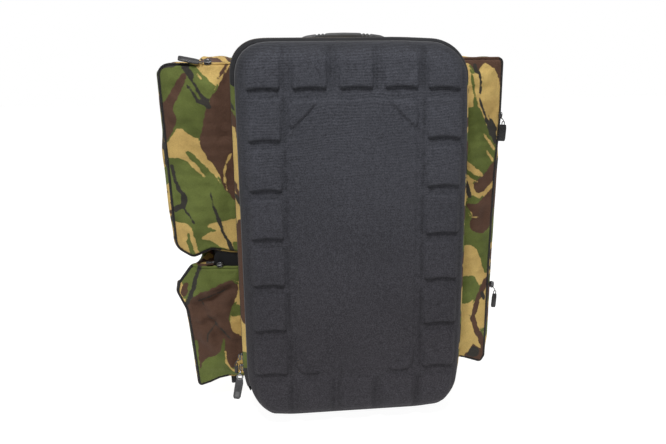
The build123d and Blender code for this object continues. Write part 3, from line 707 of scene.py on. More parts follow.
def camo_material(name, printed):
    """Woodland print on coarse woven fabric. Printed faces carry their pattern as attributes, and on the
    lower left pocket also some painted crease shadows.
    """
    shade = Shade(name, roughness=0.85, specular=0.2, sheen=0.03)
    wobble = shade.math("SUBTRACT", shade.noise(9, detail=3), 0.5)
    masks = {}
    for index, colour in enumerate(("green", "brown", "tan", "black")):
        if printed:
            node = shade.tree.nodes.new("ShaderNodeAttribute")
            node.attribute_name = f"camo_{colour}"
            distance = shade.math("ADD", node.outputs["Fac"], shade.math("MULTIPLY", wobble, 7.0))
            masks[colour] = shade.span(distance, -0.7, 0.7, 1.0, 0.0)
        else:
            stretch = ((0.9, 1.1, 1.0), (1.2, 0.8, 0.9), (1.0, 1.0, 1.4), (1.3, 1.1, 0.7))[index]
            share = (0.5, 0.54, 0.67, 0.63)[index]
            field = shade.noise((52, 44, 40, 30)[index], detail=1.5, distortion=0.6, stretch=stretch)
            edge = shade.math("ADD", field, shade.math("MULTIPLY", wobble, 0.06))
            masks[colour] = shade.span(edge, share - 0.006, share + 0.006)
    fade = shade.span(shade.noise(70, detail=2), 0.35, 0.65)
    tan = shade.mix(fade, CAMO_TAN, shade.mix(0.5, CAMO_TAN, linear(176, 142, 84)))
    green = shade.mix(fade, CAMO_GREEN, linear(86, 95, 46))
    colour = shade.mix(masks["green"], tan, green)
    colour = shade.mix(masks["brown"], colour, CAMO_BROWN)
    colour = shade.mix(masks["tan"], colour, tan)
    colour = shade.mix(masks["black"], colour, CAMO_BLACK)
    grain = shade.span(shade.noise(1.1, detail=3, roughness=0.7), 0.3, 0.7, 0.86, 1.12)
    stain = shade.span(shade.noise(28, detail=4, roughness=0.6), 0.3, 0.7, 0.9, 1.06)
    colour = shade.brightness(shade.brightness(colour, grain), stain)
    creases = shade.bump(shade.noise(22, detail=4, roughness=0.55, distortion=0.4), 3.0)
    weave = shade.bump(shade.threads(1.1), 0.06, creases)
    return shade.done(colour, weave, shade.span(grain, 0.86, 1.12, 0.92, 0.78))


def fabric_material(name, colour, pitch=0.9, crease=1.2, roughness=0.75):
    """Plain woven fabric."""
    shade = Shade(name, roughness=roughness, specular=0.3, sheen=0.02)
    worn = shade.span(shade.noise(35, detail=4), 0.3, 0.7, 0.82, 1.15)
    grain = shade.span(shade.noise(0.9, detail=2), 0.3, 0.7, 0.85, 1.15)
    colour = shade.brightness(shade.brightness(colour, worn), grain)
    creases = shade.bump(shade.noise(18, detail=3, distortion=0.3), crease)
    return shade.done(colour, shade.bump(shade.threads(pitch), 0.06, creases))


def knit_material():
    """Charcoal knit over the moulded lid, with faint wavy courses, painted lighter towards the top and
    darker towards the bottom, and darkened by the painted shade stored on the lid.
    """
    shade = Shade("charcoal_knit", roughness=0.8, specular=0.18, sheen=0.01)
    split = shade.tree.nodes.new("ShaderNodeSeparateXYZ")
    shade.put(shade.place, split.inputs[0])
    wander = shade.math("SUBTRACT", shade.noise(90, detail=2, stretch=(1, 1, 1.4)), 0.5)
    drift = shade.math("MULTIPLY", wander, 0.022)
    slant = shade.math("MULTIPLY", split.outputs["X"], 0.05)
    height = shade.math("ADD", shade.math("SUBTRACT", split.outputs["Z"], slant), drift)
    courses = shade.math("SINE", shade.math("MULTIPLY", height, 2000 * math.pi / 4.2))
    strength = shade.math("MULTIPLY", shade.span(split.outputs["Z"], 0.25, 0.5, 0.25, 1.0),
                          shade.span(shade.noise(80, detail=2), 0.35, 0.65, 0.4, 1.0))
    courses = shade.math("MULTIPLY", courses, strength)
    fine = shade.noise(1.9, detail=3, roughness=0.75)
    mottle = shade.noise(7, detail=4, roughness=0.65)
    broad = shade.noise(120, detail=2)
    fine_tone = shade.span(fine, 0.3, 0.7, 0.62, 1.38)
    tone = shade.math("ADD", shade.math("MULTIPLY", courses, 0.13), fine_tone)
    tone = shade.math("MULTIPLY", tone, shade.span(mottle, 0.3, 0.7, 0.88, 1.12))
    tone = shade.math("MULTIPLY", tone, shade.span(broad, 0.3, 0.7, 0.94, 1.06))
    # painted shade: the knit's colour goes from darker at the bottom of the lid to lighter at the top
    colour = shade.mix(shade.span(split.outputs["Z"], 0.1, 0.55), linear(57, 55, 59), linear(67, 68, 74))
    # painted shade in the grooves, under the block feet and round the rim darkens the knit here
    crease = shade.tree.nodes.new("ShaderNodeAttribute")
    crease.attribute_name = "crease_shade"
    tone = shade.math("MULTIPLY", tone, crease.outputs["Fac"])
    low = shade.bump(shade.noise(30, detail=2), 0.5)
    ribs = shade.bump(courses, 0.1, low)
    return shade.done(shade.brightness(colour, tone), shade.bump(fine, 0.3, ribs))


def rubber_material(name, colour, roughness):
    """Moulded rubber with a fine satin grain."""
    shade = Shade(name, roughness=roughness, specular=0.45)
    grain = shade.noise(1.2, detail=3)
    dust = shade.span(shade.noise(16, detail=4), 0.35, 0.75, 0.92, 1.18)
    rough = shade.span(grain, 0.3, 0.7, roughness - 0.08, roughness + 0.12)
    return shade.done(shade.brightness(colour, dust), shade.bump(grain, 0.08), rough)


def metal_material(name, colour, roughness=0.28):
    """Cast metal with a worn plating."""
    shade = Shade(name, roughness=roughness, metallic=1.0, specular=0.5)
    wear = shade.noise(3.5, detail=4)
    tone = shade.span(wear, 0.3, 0.75, 0.8, 1.1)
    rough = shade.span(wear, 0.3, 0.75, roughness - 0.08, roughness + 0.16)
    return shade.done(shade.brightness(colour, tone), shade.bump(wear, 0.05), rough)


def webbing_material(name, colour, pitch):
    """Ribbed tape or webbing."""
    shade = Shade(name, roughness=0.7, specular=0.3, sheen=0.03)
    ribs = shade.threads(pitch)
    fuzz = shade.span(shade.noise(1.0, detail=2), 0.3, 0.7, 0.82, 1.18)
    rows = shade.span(ribs, -2.0, 2.0, 0.85, 1.12)
    colour = shade.brightness(shade.brightness(colour, fuzz), rows)
    return shade.done(colour, shade.bump(ribs, 0.12))


def mesh_material(name, colour, cell=3.2):
    """Spacer mesh: rows of small round holes."""
    shade = Shade(name, roughness=0.85, specular=0.2, sheen=0.04)
    holes = shade.threads(cell)
    open_share = shade.span(holes, 0.9, 1.9, 1.0, 0.35)
    fuzz = shade.span(shade.noise(0.8, detail=2), 0.3, 0.7, 0.8, 1.2)
    colour = shade.brightness(shade.brightness(colour, fuzz), open_share)
    return shade.done(colour, shade.bump(open_share, 0.5))


CAMO = camo_material("woodland_print", printed=True)
CAMO_WILD = camo_material("woodland_print_all_over", printed=False)
KNIT = knit_material()
BLACK_FABRIC = fabric_material("black_fabric", linear(44, 43, 44))
# painted shadow: near-black fabric for the shadowed gap between the stacked pockets
GAP_SHADOW_FABRIC = fabric_material("gap_shadow_black", linear(17, 17, 19))
LINING = fabric_material("lining", linear(52, 52, 54), pitch=0.7, crease=2.0, roughness=0.6)
NET = mesh_material("net_tape", linear(42, 42, 44), cell=2.4)
BINDING = webbing_material("light_binding", linear(96, 96, 98), pitch=1.2)
PIPING = webbing_material("dark_piping", linear(40, 37, 35), pitch=1.2)
RIM_PIPING = webbing_material("brown_piping", linear(120, 96, 66), pitch=1.2)
ZIP_TAPE = webbing_material("zip_tape", linear(38, 37, 38), pitch=0.8)
COIL = rubber_material("zip_coil", linear(46, 44, 44), roughness=0.4)
NICKEL = metal_material("slider_nickel", linear(118, 118, 120))
DARK_METAL = metal_material("ring_metal", linear(150, 150, 152), roughness=0.3)
PULL_RUBBER = rubber_material("pull_rubber", linear(66, 66, 67), roughness=0.42)
PULL_PANEL = rubber_material("pull_panel", linear(98, 98, 98), roughness=0.5)
GLOSS_PULL = rubber_material("gloss_pull", linear(44, 43, 44), roughness=0.22)
HANDLE_RUBBER = rubber_material("handle_rubber", linear(62, 62, 63), roughness=0.45)
ACETAL = rubber_material("black_acetal", linear(38, 38, 39), roughness=0.4)
FRAME_PLASTIC = rubber_material("frame_plastic", linear(70, 70, 72), roughness=0.5)
AIR_MESH = mesh_material("air_mesh", linear(58, 58, 60))
WEBBING = webbing_material("black_webbing", linear(42, 41, 42), pitch=1.9)

# ---------------------------------------------------------------- front lid

LID_HALF, LID_LOW, LID_HIGH, LID_CORNER = 172.0, 10.0, 602.0, 52.0
LID_BACK, LID_FACE = -106.5, -145.0
BLOCK_HALF = (26.0, 30.5)
BLOCK_ROUND = 8.0
COLUMNS = (-133.0, -66.0, 1.0, 67.0, 130.0)
ROWS = 8
ROW_PITCH = 73.0
GRID_MIDDLE_Z = 310.0
BLOCKS = [
    (x, GRID_MIDDLE_Z + (row - (ROWS - 1) / 2) * ROW_PITCH)
    for x in COLUMNS
    for row in range(ROWS)
    if x in (COLUMNS[0], COLUMNS[-1]) or row in (0, ROWS - 1)
]
RIM_HALF, RIM_HIGH, RIM_CORNER = 180.0, 608.0, 57.0


def lid_distance(points):
    """Distance in from the lid's outline."""
    middle = (0, (LID_LOW + LID_HIGH) / 2)
    half = (LID_HALF, (LID_HIGH - LID_LOW) / 2)
    return -box_distance(points, middle, half, LID_CORNER)


def corner_share(verts, centre_x, centre_z, way_x, way_z, radius):
    """0 outside a corner's square, rising to 1 on its diagonal."""
    a = np.clip((verts[:, 0] - centre_x) * way_x / radius, 0, 1)
    b = np.clip((verts[:, 2] - centre_z) * way_z / radius, 0, 1)
    return smooth(0, 0.67, a * b)


def droop(verts):
    """Settled outline of the lid and rim: one tight and one hanging upper corner, full right side."""
    tight = corner_share(verts, -124, 552, -1, 1, 55)
    low_left = corner_share(verts, -94, 88, -1, -1, 78)
    low_right = corner_share(verts, 94, 88, 1, -1, 78)
    full = smooth(60, 172, verts[:, 0]) * smooth(20, 160, verts[:, 2]) * smooth(590, 440, verts[:, 2])
    hang = smooth(60, 172, verts[:, 0]) * smooth(400, 590, verts[:, 2])
    verts[:, 0] += -3.2 * tight + 6.4 * low_left - 3.0 * low_right + 3.6 * full
    verts[:, 2] += 3.2 * tight + 3.2 * low_left + 3.0 * low_right - 4.0 * hang
    return verts


def foot_arch(u):
    """Height of a block's arched foot at a share u of its half width."""
    return -BLOCK_HALF[1] + 3.4 * (1 - np.minimum(u * u, 1.2))


def block(points, centre):
    """Relief of one moulded block: a crisp arched step at its foot, softer sides and top."""
    u = (points[:, 0] - centre[0]) / BLOCK_HALF[0]
    v = points[:, 1] - centre[1]
    foot = foot_arch(u)
    sides = smooth(1.1, 0.8, np.abs(u))
    lower = smooth(foot - 0.6, foot + 1.8, v)
    upper = smooth(BLOCK_HALF[1] + 1.5, BLOCK_HALF[1] - 3.5, v)
    slope = 0.5 + 0.5 * smooth(BLOCK_HALF[1], -BLOCK_HALF[1] * 0.8, v)
    corners = smooth(0.6, -2.2, box_distance(points, centre, BLOCK_HALF, BLOCK_ROUND))
    return 5.4 * sides * lower * upper * slope * corners


def lid_relief(points):
    """How far the moulded blocks and corner pads stand out, in millimetres."""
    middle = box_distance(points, (-2, 309), (93, 211), 12)
    relief = 1.7 * smooth(1.5, -3.0, middle)
    for centre in BLOCKS:
        relief = np.maximum(relief, block(points, centre))
    rim_fade = smooth(3, 22, lid_distance(points))
    pads = [
        ([(-97, 520), (-55, 520), (-59, 512), (-88, 484), (-97, 480)], None),
        ([(92, 518), (50, 518), (54, 511), (82, 483), (92, 479)], None),
        ([(-95, 98), (-55, 98), (-57, 106), (-88, 136), (-95, 138)], (-54, 138, 36)),
        ([(91, 96), (51, 96), (53, 103), (83, 132), (91, 134)], (50, 137, 36)),
    ]
    for corners, scoop in pads:
        gap = -outline_distance(points, chaikin(corners, 3))
        if scoop:
            bowl = np.linalg.norm(points - np.array(scoop[:2]), axis=1)
            gap = np.maximum(gap, scoop[2] - bowl)
        relief = np.maximum(relief, 4.6 * smooth(0.8, -2.0, gap))
    return relief * rim_fade


def lid_shade(points):
    """Painted shade on the knit: darker in the grooves between the blocks, under their feet and round the
    rim.
    """
    groove = np.zeros(len(points))
    foot = np.zeros(len(points))
    for x, z in BLOCKS:
        u = (points[:, 0] - x) / BLOCK_HALF[0]
        v = points[:, 1] - z
        away = -u if x == COLUMNS[-1] else u
        right_groove = np.exp(-(((away - 1.14) / 0.11) ** 2))
        left_groove = 0.5 * np.exp(-(((away + 1.14) / 0.11) ** 2))
        groove = np.maximum(groove, (right_groove + left_groove) * smooth(35, 27, np.abs(v)))
        under = np.exp(-(((v - foot_arch(u) + 0.4) / 1.5) ** 2)) * smooth(1.02, 0.85, np.abs(u))
        foot = np.maximum(foot, under)
    centre = np.abs(points[:, 0]) < 92
    groove *= np.where(centre & (points[:, 1] > 98) & (points[:, 1] < 520), 0, 1)
    # painted shade round the rim of the lid, deepest along its top edge
    rim = 1 - (0.2 + 0.26 * smooth(530, 598, points[:, 1])) * smooth(26, 2, lid_distance(points))
    return (1 - 0.26 * groove) * (1 - 0.45 * foot) * rim


def make_lid():
    """The moulded front, its lining and the tape round its back edge."""
    edge = superellipse_edge(31, LID_BACK, LID_FACE, power=2.3, count=20, lead=[(3.0, LID_BACK + 1.5)])
    verts, faces = panel(LID_HALF, LID_LOW, LID_HIGH, LID_CORNER, edge, 1.75)
    flat = verts[:, [0, 2]]
    inward = smooth(0, 25, lid_distance(flat))
    climb = np.clip((verts[:, 2] - LID_LOW) / 52, 0, 1)
    limit = LID_BACK + (LID_FACE - LID_BACK) * (1 - (1 - climb) ** 2.1) ** (1 / 2.1)
    verts[:, 1] = np.maximum(verts[:, 1], limit)
    verts[:, 1] -= lid_relief(flat)
    verts[:, 1] += inward * 0.35 * ripple(flat, 70, 11)
    front = piece("lid_foam_front", droop(verts), faces, KNIT, "lid",
                  slot="moulded_lid", replaces=["lid_shell"])
    # painted shade: darker knit in the grooves, under the block feet and round the rim
    shade = front.data.attributes.new("crease_shade", "FLOAT", "POINT")
    shade.data.foreach_set("value", lid_shade(flat).astype(np.float32))

    edge = [(1.5, LID_BACK), (4.5, LID_BACK - 1.0), (6, -110), (7, -120), (9, -131), (14, -137),
            (24, -139.5)]
    verts, faces = panel(LID_HALF, LID_LOW, LID_HIGH, LID_CORNER, edge, 5)
    limit = LID_BACK - 27 * (1 - (1 - np.clip((verts[:, 2] - LID_LOW - 4) / 60, 0, 1)) ** 2) ** 0.5
    verts[:, 1] = np.where(verts[:, 2] < 70, np.maximum(verts[:, 1], limit), verts[:, 1])
    flat = verts[:, [0, 2]]
    verts[:, 1] += smooth(12, 40, lid_distance(flat)) * 0.7 * ripple(flat, 60, 12)
    piece("lid_lining", droop(verts), faces, LINING, "lid", slot="base_fabric")

    outline = rounded_polygon(
        [(-LID_HALF, LID_LOW), (LID_HALF, LID_LOW), (LID_HALF, LID_HIGH), (-LID_HALF, LID_HIGH)],
        [LID_CORNER] * 4,
        3.0,
    )
    verts, faces = sweep(*outline, slab_profile(-1.8, 1.0, -108.4, -105.4, 0.9), True, True)
    piece("lid_binding_tape", droop(verts), faces, BINDING, "lid",
          slot="binding_tape", replaces=["lid_binding"])


def lid_side(name, first, last, material, **about):
    """Fabric side of the lid between two shares of its way round the rim."""
    start = 52
    a, b = int(first * RIM_POINTS), int(last * RIM_POINTS) + 1
    rows = []
    inner_line, inner_normals = rim_arch(LID_HALF + 0.4, start + 6, LID_HIGH + 0.4, LID_CORNER + 0.4,
                                         foot=LID_LOW, heel=LID_CORNER)
    outer_line, outer_normals = rim_arch(RIM_HALF, start, RIM_HIGH, RIM_CORNER)
    for t in np.linspace(0, 1, 9):
        line = inner_line * (1 - t) + outer_line * t
        normal = inner_normals * (1 - t) + outer_normals * t
        puff = 1.6 * math.sin(math.pi * t) ** 0.8
        y = -106.2 + 10.4 * t
        wave = ripple(line, 45, 21) * 0.5 * math.sin(math.pi * t)
        line = line + normal * (puff + wave)[:, None]
        rows.append(at_depth(line, y)[a:b])
    inside = [row + np.array([0, 1.2, 0]) for row in rows[::-1]]
    verts = droop(np.concatenate(rows + inside))
    faces = grid_faces(len(rows) * 2, b - a, wrap_rows=True)
    return piece(name, verts, faces, material, "lid", **about)


make_lid()
left = lid_side("lid_side_left", 0.026, 0.348, CAMO, slot="camo_fabric", replaces=["lid_gusset"])
paint(left, PRINT_LID_SIDE)
lid_side("lid_side_end", 0.0, 0.026, BLACK_FABRIC, slot="base_fabric")
lid_side("lid_side_top", 0.348, 0.652, NET, slot="base_fabric")
lid_side("lid_side_right", 0.652, 1.0, CAMO_WILD, slot="camo_fabric")

# ---------------------------------------------------------------- main zip


def main_zip(name, body, start, front, back, tooth_y, across, shift, node):
    """One half of the main zip: its tape and its row of coil teeth."""
    line, normals = rim_arch(RIM_HALF - 1.2, start, RIM_HIGH - 1.2, RIM_CORNER - 1.2)
    verts, faces = sweep(line, normals, slab_profile(-0.6, 0.6, front, back, 0.25), False, True)
    piece(f"{name}_tape", droop(verts), faces, ZIP_TAPE, body, slot="zip_chain", replaces=[node])
    coil = Parts()
    zip_rows(coil, line, normals, (0.4, tooth_y), (1.7, 0), (0, across), 3.4, 2.6, shift)
    seam = tooth_y - across * 1.0
    coil.add(*sweep(line, normals, round_profile((0.9, seam), 0.45, 6), False, True))
    piece(f"{name}_coil", droop(coil.points()), coil.faces, COIL, body, slot="zip_chain")


main_zip("main_zip_lid", "lid", 44, -96.2, -89.4, -91.2, 1, 0.0, "zip_chain_lid")
main_zip("main_zip_pack", "pack", 40, -86.8, -81.6, -85.0, -1, 1.3, "zip_chain_pack")

# ---------------------------------------------------------------- main compartment


def loft_rims(sections):
    """Skin over (y, half width, top, corner) outlines."""
    rows = []
    for y, half_width, top, corner in sections:
        line, _ = rim_arch(half_width, 26.0, top, corner, 420)
        rows.append(at_depth(line, y))
    return np.concatenate(rows), grid_faces(len(rows), len(rows[0]))


def make_body():
    """The main compartment: its skin, back panel, lining and the piping on its edges."""
    sections = [
        (-81.8, 177.0, 605.0, 54), (-81.8, 180.0, 608.0, 57),
        (-78.4, 180.0, 608.0, 57), (-77.6, 177.6, 604.0, 54),
    ]
    for y in np.arange(-74, 90.1, 4):
        sag = math.exp(-(y + 78) / 12)
        sections.append((y, 176 + 1.2 * sag, 589 + 13 * sag, 50 + 1.5 * sag))
    sections += [(92.5, 175.2, 588.0, 49.4), (94.4, 173.0, 585.6, 47.5), (95.0, 169.0, 581.5, 44)]
    verts, faces = loft_rims(sections)
    loose = smooth(-70, -40, verts[:, 1]) * smooth(95, 70, verts[:, 1])
    top = smooth(520, 575, verts[:, 2])
    sink = loose * (0.8 + 0.9 * top) * ripple(verts, 55, 31)
    verts[:, 2] += sink * top
    verts[:, 0] -= np.sign(verts[:, 0]) * np.abs(sink) * (1 - top)
    verts += smooth(20, -60, verts[:, 1])[:, None] * (droop(verts.copy()) - verts)
    piece("body_fabric", verts, faces, CAMO_WILD, "pack", slot="camo_fabric", replaces=["body_shell"])

    edge = [(0.6, 92.0), (2.0, 94.4), (5.5, 95.2), (12, 95.4)]
    verts, faces = panel(174.5, 26, 588, 49, edge, 6)
    flat = verts[:, [0, 2]]
    inward = smooth(10, 60, -box_distance(flat, (0, 307), (174, 281), 49))
    verts[:, 1] -= inward * (0.5 + 0.5 * ripple(flat, 60, 32))
    piece("back_fabric", verts, faces, BLACK_FABRIC, "pack", slot="base_fabric")

    edge = [(0, -81.4), (0.5, -60), (1, 0), (1.5, 60), (2, 84), (5, 87.6), (12, 88.4)]
    verts, faces = panel(172.4, 6.6, 585.4, 47, edge, 7)
    walls = smooth(-75, -50, verts[:, 1])
    flat = verts[:, [0, 2]]
    inward = smooth(20, 70, -box_distance(flat, (0, 296), (172, 289), 47))
    verts[:, 1] -= inward * (0.6 + 0.5 * ripple(flat, 70, 33))
    verts[:, 0] *= 1 - 0.004 * walls
    piece("main_lining", droop(verts), faces, LINING, "pack", slot="base_fabric")

    outline, normals = rim_arch(177.4, 28, 587.8, 49.4, 300)
    swept("back_piping", outline, normals, round_profile((-2.0, 94.6), 1.7, 8), PIPING, "pack",
          slot="binding_tape")
    line, normals = rim_arch(RIM_HALF - 0.4, 44, RIM_HIGH - 0.4, RIM_CORNER - 0.4, 420)
    verts, faces = sweep(line, normals, round_profile((-0.3, -80.2), 1.7, 10), False, True)
    piece("rim_piping", droop(verts), faces, RIM_PIPING, "pack", slot="binding_tape")


def make_base():
    """Coated fabric base, turned up round the bottom."""
    left = arc_points((-121, 58.2), 58.2, 209, 270, 2.5)
    right = arc_points((121, 58.2), 58.2, 270, 331, 2.5)
    line = resample(np.vstack([left, right]), count=260)
    normals = -side_normals(line)
    profile = [(-2.6, -77.6), (0, -77.8), (-0.1, -60), (-0.1, 80), (-0.6, 94), (-2.6, 97), (-8, 97.8)]
    verts, faces = sweep(line, normals, profile)
    verts[:, 2] = np.maximum(verts[:, 2], 0.15)
    parts = Parts().add(droop(verts), faces)
    x, z = np.meshgrid(np.linspace(-170, 170, 60), np.linspace(6, 30, 5))
    keep_in = 121 + np.sqrt(np.maximum(50.0**2 - (z - 58) ** 2, 0))
    x = np.clip(x, -keep_in, keep_in)
    back = at_depth(np.column_stack([x.ravel(), z.ravel()]), 97.8)
    parts.add(droop(back), grid_faces(*x.shape))
    parts.piece("base_fabric_tray", BLACK_FABRIC, "pack", slot="base_fabric", replaces=["base_tray"])


def make_hinge_strip():
    """Fabric that the lid turns on, under its bottom edge."""
    x = np.linspace(-116, 116, 62)
    path = [(-77.0, 6.0), (-84, 5.4), (-90, 5.2), (-98, 6.4), (-106, 9.0), (-109, 11.0)]
    path = resample(np.array(path), count=18)
    rows = [np.stack([x, np.full(len(x), y), np.full(len(x), z)], 1) for y, z in path]
    rows += [np.stack([x, np.full(len(x), y), np.full(len(x), z + 1.4)], 1) for y, z in path[::-1]]
    verts = np.concatenate(rows)
    thing = piece("lid_hinge_fabric", verts, grid_faces(len(rows), len(x), wrap_rows=True), BLACK_FABRIC,
                  slot="base_fabric", replaces=["lid_hinge_strip"])
    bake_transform(thing)


make_body()
make_base()
make_hinge_strip()

# ---------------------------------------------------------------- side pockets


def cushion(outline, step, low, high, edge, power=2.2):
    """Closed slab over an outline, with its edges rounded.

    Gives (u, v, height) points, faces, and each point's depth in (negative on the rear).
    """
    flat, faces = fill(outline, step)
    rim = len(outline)
    depth = outline_distance(flat, outline)
    depth[:rim] = 0
    swell = (1 - (1 - np.clip(depth / edge, 0, 1)) ** power) ** (1 / power)
    middle = (low + high) / 2
    front = np.column_stack([flat, middle + (high - middle) * swell])
    rear = np.column_stack([flat, middle + (low - middle) * swell])[rim:]
    shift = len(flat) - rim
    back_faces = [[i if i < rim else i + shift for i in face][::-1] for face in faces]
    return np.concatenate([front, rear]), faces + back_faces, np.concatenate([depth, -depth[rim:]])


def fold(points, start, end, height, width):
    """A soft crease along a line: raised on one side of it and sunk on the other."""
    start, end = np.array(start, float), np.array(end, float)
    run = end - start
    length = np.linalg.norm(run)
    t = (points - start) @ run / length**2
    across = (points - start) @ np.array([-run[1], run[0]]) / length / width
    ends = smooth(-0.15, 0.25, t) * smooth(1.15, 0.75, t)
    return height * across * np.exp(-(across**2) / 2) * ends * 1.6


def outer_run(line, normals, hinge_x):
    """The part of a pocket's outline beyond its hinge, in order."""
    side = 1 if hinge_x > 0 else -1
    far = side * line[:, 0] > side * hinge_x + 1.5
    first = int(np.argmax(far & ~np.roll(far, 1)))
    order = np.roll(np.arange(len(line)), -first)
    order = order[far[order]]
    return line[order], normals[order]


WALL_STATIONS = 44
POCKET_WALL = np.array([
    (-1.2, -36.6), (0.4, -37.4), (1.4, -36.0), (2.6, -31), (4.0, -22), (4.8, -8), (5.0, 10),
    (4.6, 30), (3.6, 50), (2.0, 68), (0.4, 80), (-2.0, 87), (-6.0, 90.0), (-11, 91.0),
])
POCKET_LINING = [
    (-1.4, -36.8), (-2.8, -34), (-3.4, -10), (-3.4, 60), (-3.8, 82), (-6.5, 86.6), (-12, 87.2),
]


def make_pocket(name, body, corners, radii, hinge_x, layers, puff, seed, bare, folds=(), top_rise=0.0,
                roll=(0, 0, 1, 2, 3), crest=(262, 205, 178, 190), crumple=1.0, slope=0.0):
    """One side pocket: its printed front (the door), walls, lining, zip and piping.

    bare is (how far out, above which height) the top edge has no zip; roll and crest say
    where the outer wall bulges and where the top rises.
    """
    side = 1 if hinge_x > 0 else -1
    outline, normals = rounded_polygon(corners, radii, 2.4)

    def sunk(flat, y):
        """How far the outer shoulder slopes down towards the wearer's side."""
        outer = smooth(242, 262, np.abs(flat[:, 0])) * smooth(150, 240, flat[:, 1])
        return slope * outer * smooth(-38, 60, y)

    def back_sheet(inset, step, y):
        """Flat sheet across the pocket at one y."""
        sheet, sheet_faces = fill(outline - normals * inset, step)
        sheet[:, 1] -= sunk(sheet, y)
        return at_depth(sheet, y), sheet_faces

    front_line = outline - normals * 2.9
    verts, faces, depth = cushion(front_line, 2.7, -36.4, -42.6, edge=3.2)
    verts = verts[:, [0, 2, 1]]
    front = depth >= 0
    swell = smooth(0, 34, np.abs(depth))
    flat = verts[:, [0, 2]]
    rough = crumple * (1.5 * ripple(flat, 46, seed) + 0.8 * ripple(flat, 19, seed + 1))
    verts[front, 1] -= (swell * puff)[front] + (smooth(0, 16, depth) * rough)[front]
    for start, end, height, width in folds:
        verts[front, 1] -= (fold(flat, start, end, height, width) * smooth(0, 14, depth))[front]
    verts[~front, 1] -= (swell * (puff - 2.0))[~front]
    door = piece(f"pocket_{name}_front", verts, faces, CAMO,
                 slot="camo_fabric", replaces=[f"pocket_{name}_door"])
    paint(door, layers)
    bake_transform(door)

    fine, coarse = np.linspace(0, 1, WALL_STATIONS), np.linspace(0, 1, len(POCKET_WALL))
    profile = np.column_stack([np.interp(fine, coarse, POCKET_WALL[:, k]) for k in (0, 1)])
    verts, faces = sweep(outline, normals, profile, closed=True)
    outward = np.repeat(normals, WALL_STATIONS, axis=0)
    base = np.repeat(outline, WALL_STATIONS, axis=0)
    free = smooth(178, 194, np.abs(base[:, 0]))
    bulge = np.maximum(np.tile(profile[:, 0], len(outline)), 0)
    loose = smooth(-36, -10, verts[:, 1]) * smooth(90, 60, verts[:, 1])
    bevelled = smooth(0.25, 0.55, outward[:, 1])
    push = (free - 1) * bulge - bevelled * bulge * 0.9 + free * loose * 1.5 * ripple(verts, 48, seed + 5)
    amount, z_low, z_lower, z_upper, z_high = roll
    spread = np.where(verts[:, 1] < -30, 5.0, 42.0)
    rolled = amount * np.exp(-(((verts[:, 1] + 30) / spread) ** 2)) * np.clip(side * outward[:, 0], 0, 1)
    push += rolled * smooth(z_low, z_lower, base[:, 1]) * smooth(z_high, z_upper, base[:, 1])
    verts[:, 0] += outward[:, 0] * push
    verts[:, 2] += outward[:, 1] * push
    across = np.abs(base[:, 0])
    lift = top_rise * np.clip(outward[:, 1], 0, 1) * smooth(-38, 18, verts[:, 1])
    lift *= smooth(crest[0], crest[1], across) * smooth(crest[2], crest[3], across)
    verts[:, 2] += lift * (0.85 + 0.15 * ripple(verts, 30, seed + 6))
    verts[:, 2] -= sunk(base, verts[:, 1])
    walls = Parts().add(verts, faces).add(*back_sheet(9.5, 6, 90.8))
    walls.piece(f"pocket_{name}_sides", CAMO_WILD, "pack",
                slot="camo_fabric", replaces=[f"pocket_{name}_tub"])

    verts, faces = sweep(outline, normals, POCKET_LINING, closed=True)
    verts[:, 2] -= sunk(np.repeat(outline, len(POCKET_LINING), axis=0), verts[:, 1])
    lining = Parts().add(verts, faces).add(*back_sheet(11, 8, 87.3))
    lining.piece(f"pocket_{name}_lining", LINING, "pack", slot="base_fabric")

    line, line_normals = outer_run(outline, normals, hinge_x)
    edge, edge_normals = outer_run(front_line, normals, hinge_x)
    bare_out, bare_low = bare
    shown = (side * line[:, 0] >= bare_out) | (line[:, 1] <= bare_low)
    taped, taped_normals = line[shown], line_normals[shown]
    shown = (side * edge[:, 0] >= bare_out) | (edge[:, 1] <= bare_low)
    edge, edge_normals = edge[shown], edge_normals[shown]
    out = side * outline[:, 0]
    beside = (out > 177) & (out < bare_out + 3) & (outline[:, 1] > bare_low)
    seam = swept(f"pocket_{name}_seam", outline[beside], normals[beside],
                 slab_profile(-3.8, 0.7, -40.6, -36.4, 1.4), CAMO, "pack", slot="camo_fabric")
    paint(seam, layers)
    swept(f"pocket_{name}_tape", taped, taped_normals, slab_profile(-1.3, 0.4, -38.9, -37.6, 0.3),
          ZIP_TAPE, "pack", slot="zip_chain", replaces=[f"pocket_{name}_zip"])
    coil = Parts()
    zip_rows(coil, taped, taped_normals, (-0.3, -38.8), (0, -1.1), (-1, 0), 1.2, 2.4, 1.2)
    coil.piece(f"pocket_{name}_coil", COIL, "pack", slot="zip_chain")
    swept(f"pocket_{name}_door_tape", taped, taped_normals, slab_profile(-3.3, -1.9, -39.2, -38.1, 0.3),
          ZIP_TAPE, body, slot="zip_chain")
    coil = Parts()
    zip_rows(coil, taped, taped_normals, (-2.3, -39.0), (0, -1.0), (1, 0), 1.1, 2.4, 0.0)
    coil.piece(f"pocket_{name}_door_coil", COIL, body, slot="zip_chain")
    swept(f"pocket_{name}_door_piping", edge, edge_normals, round_profile((-0.1, -40.2), 0.75, 8),
          PIPING, body, slot="binding_tape")


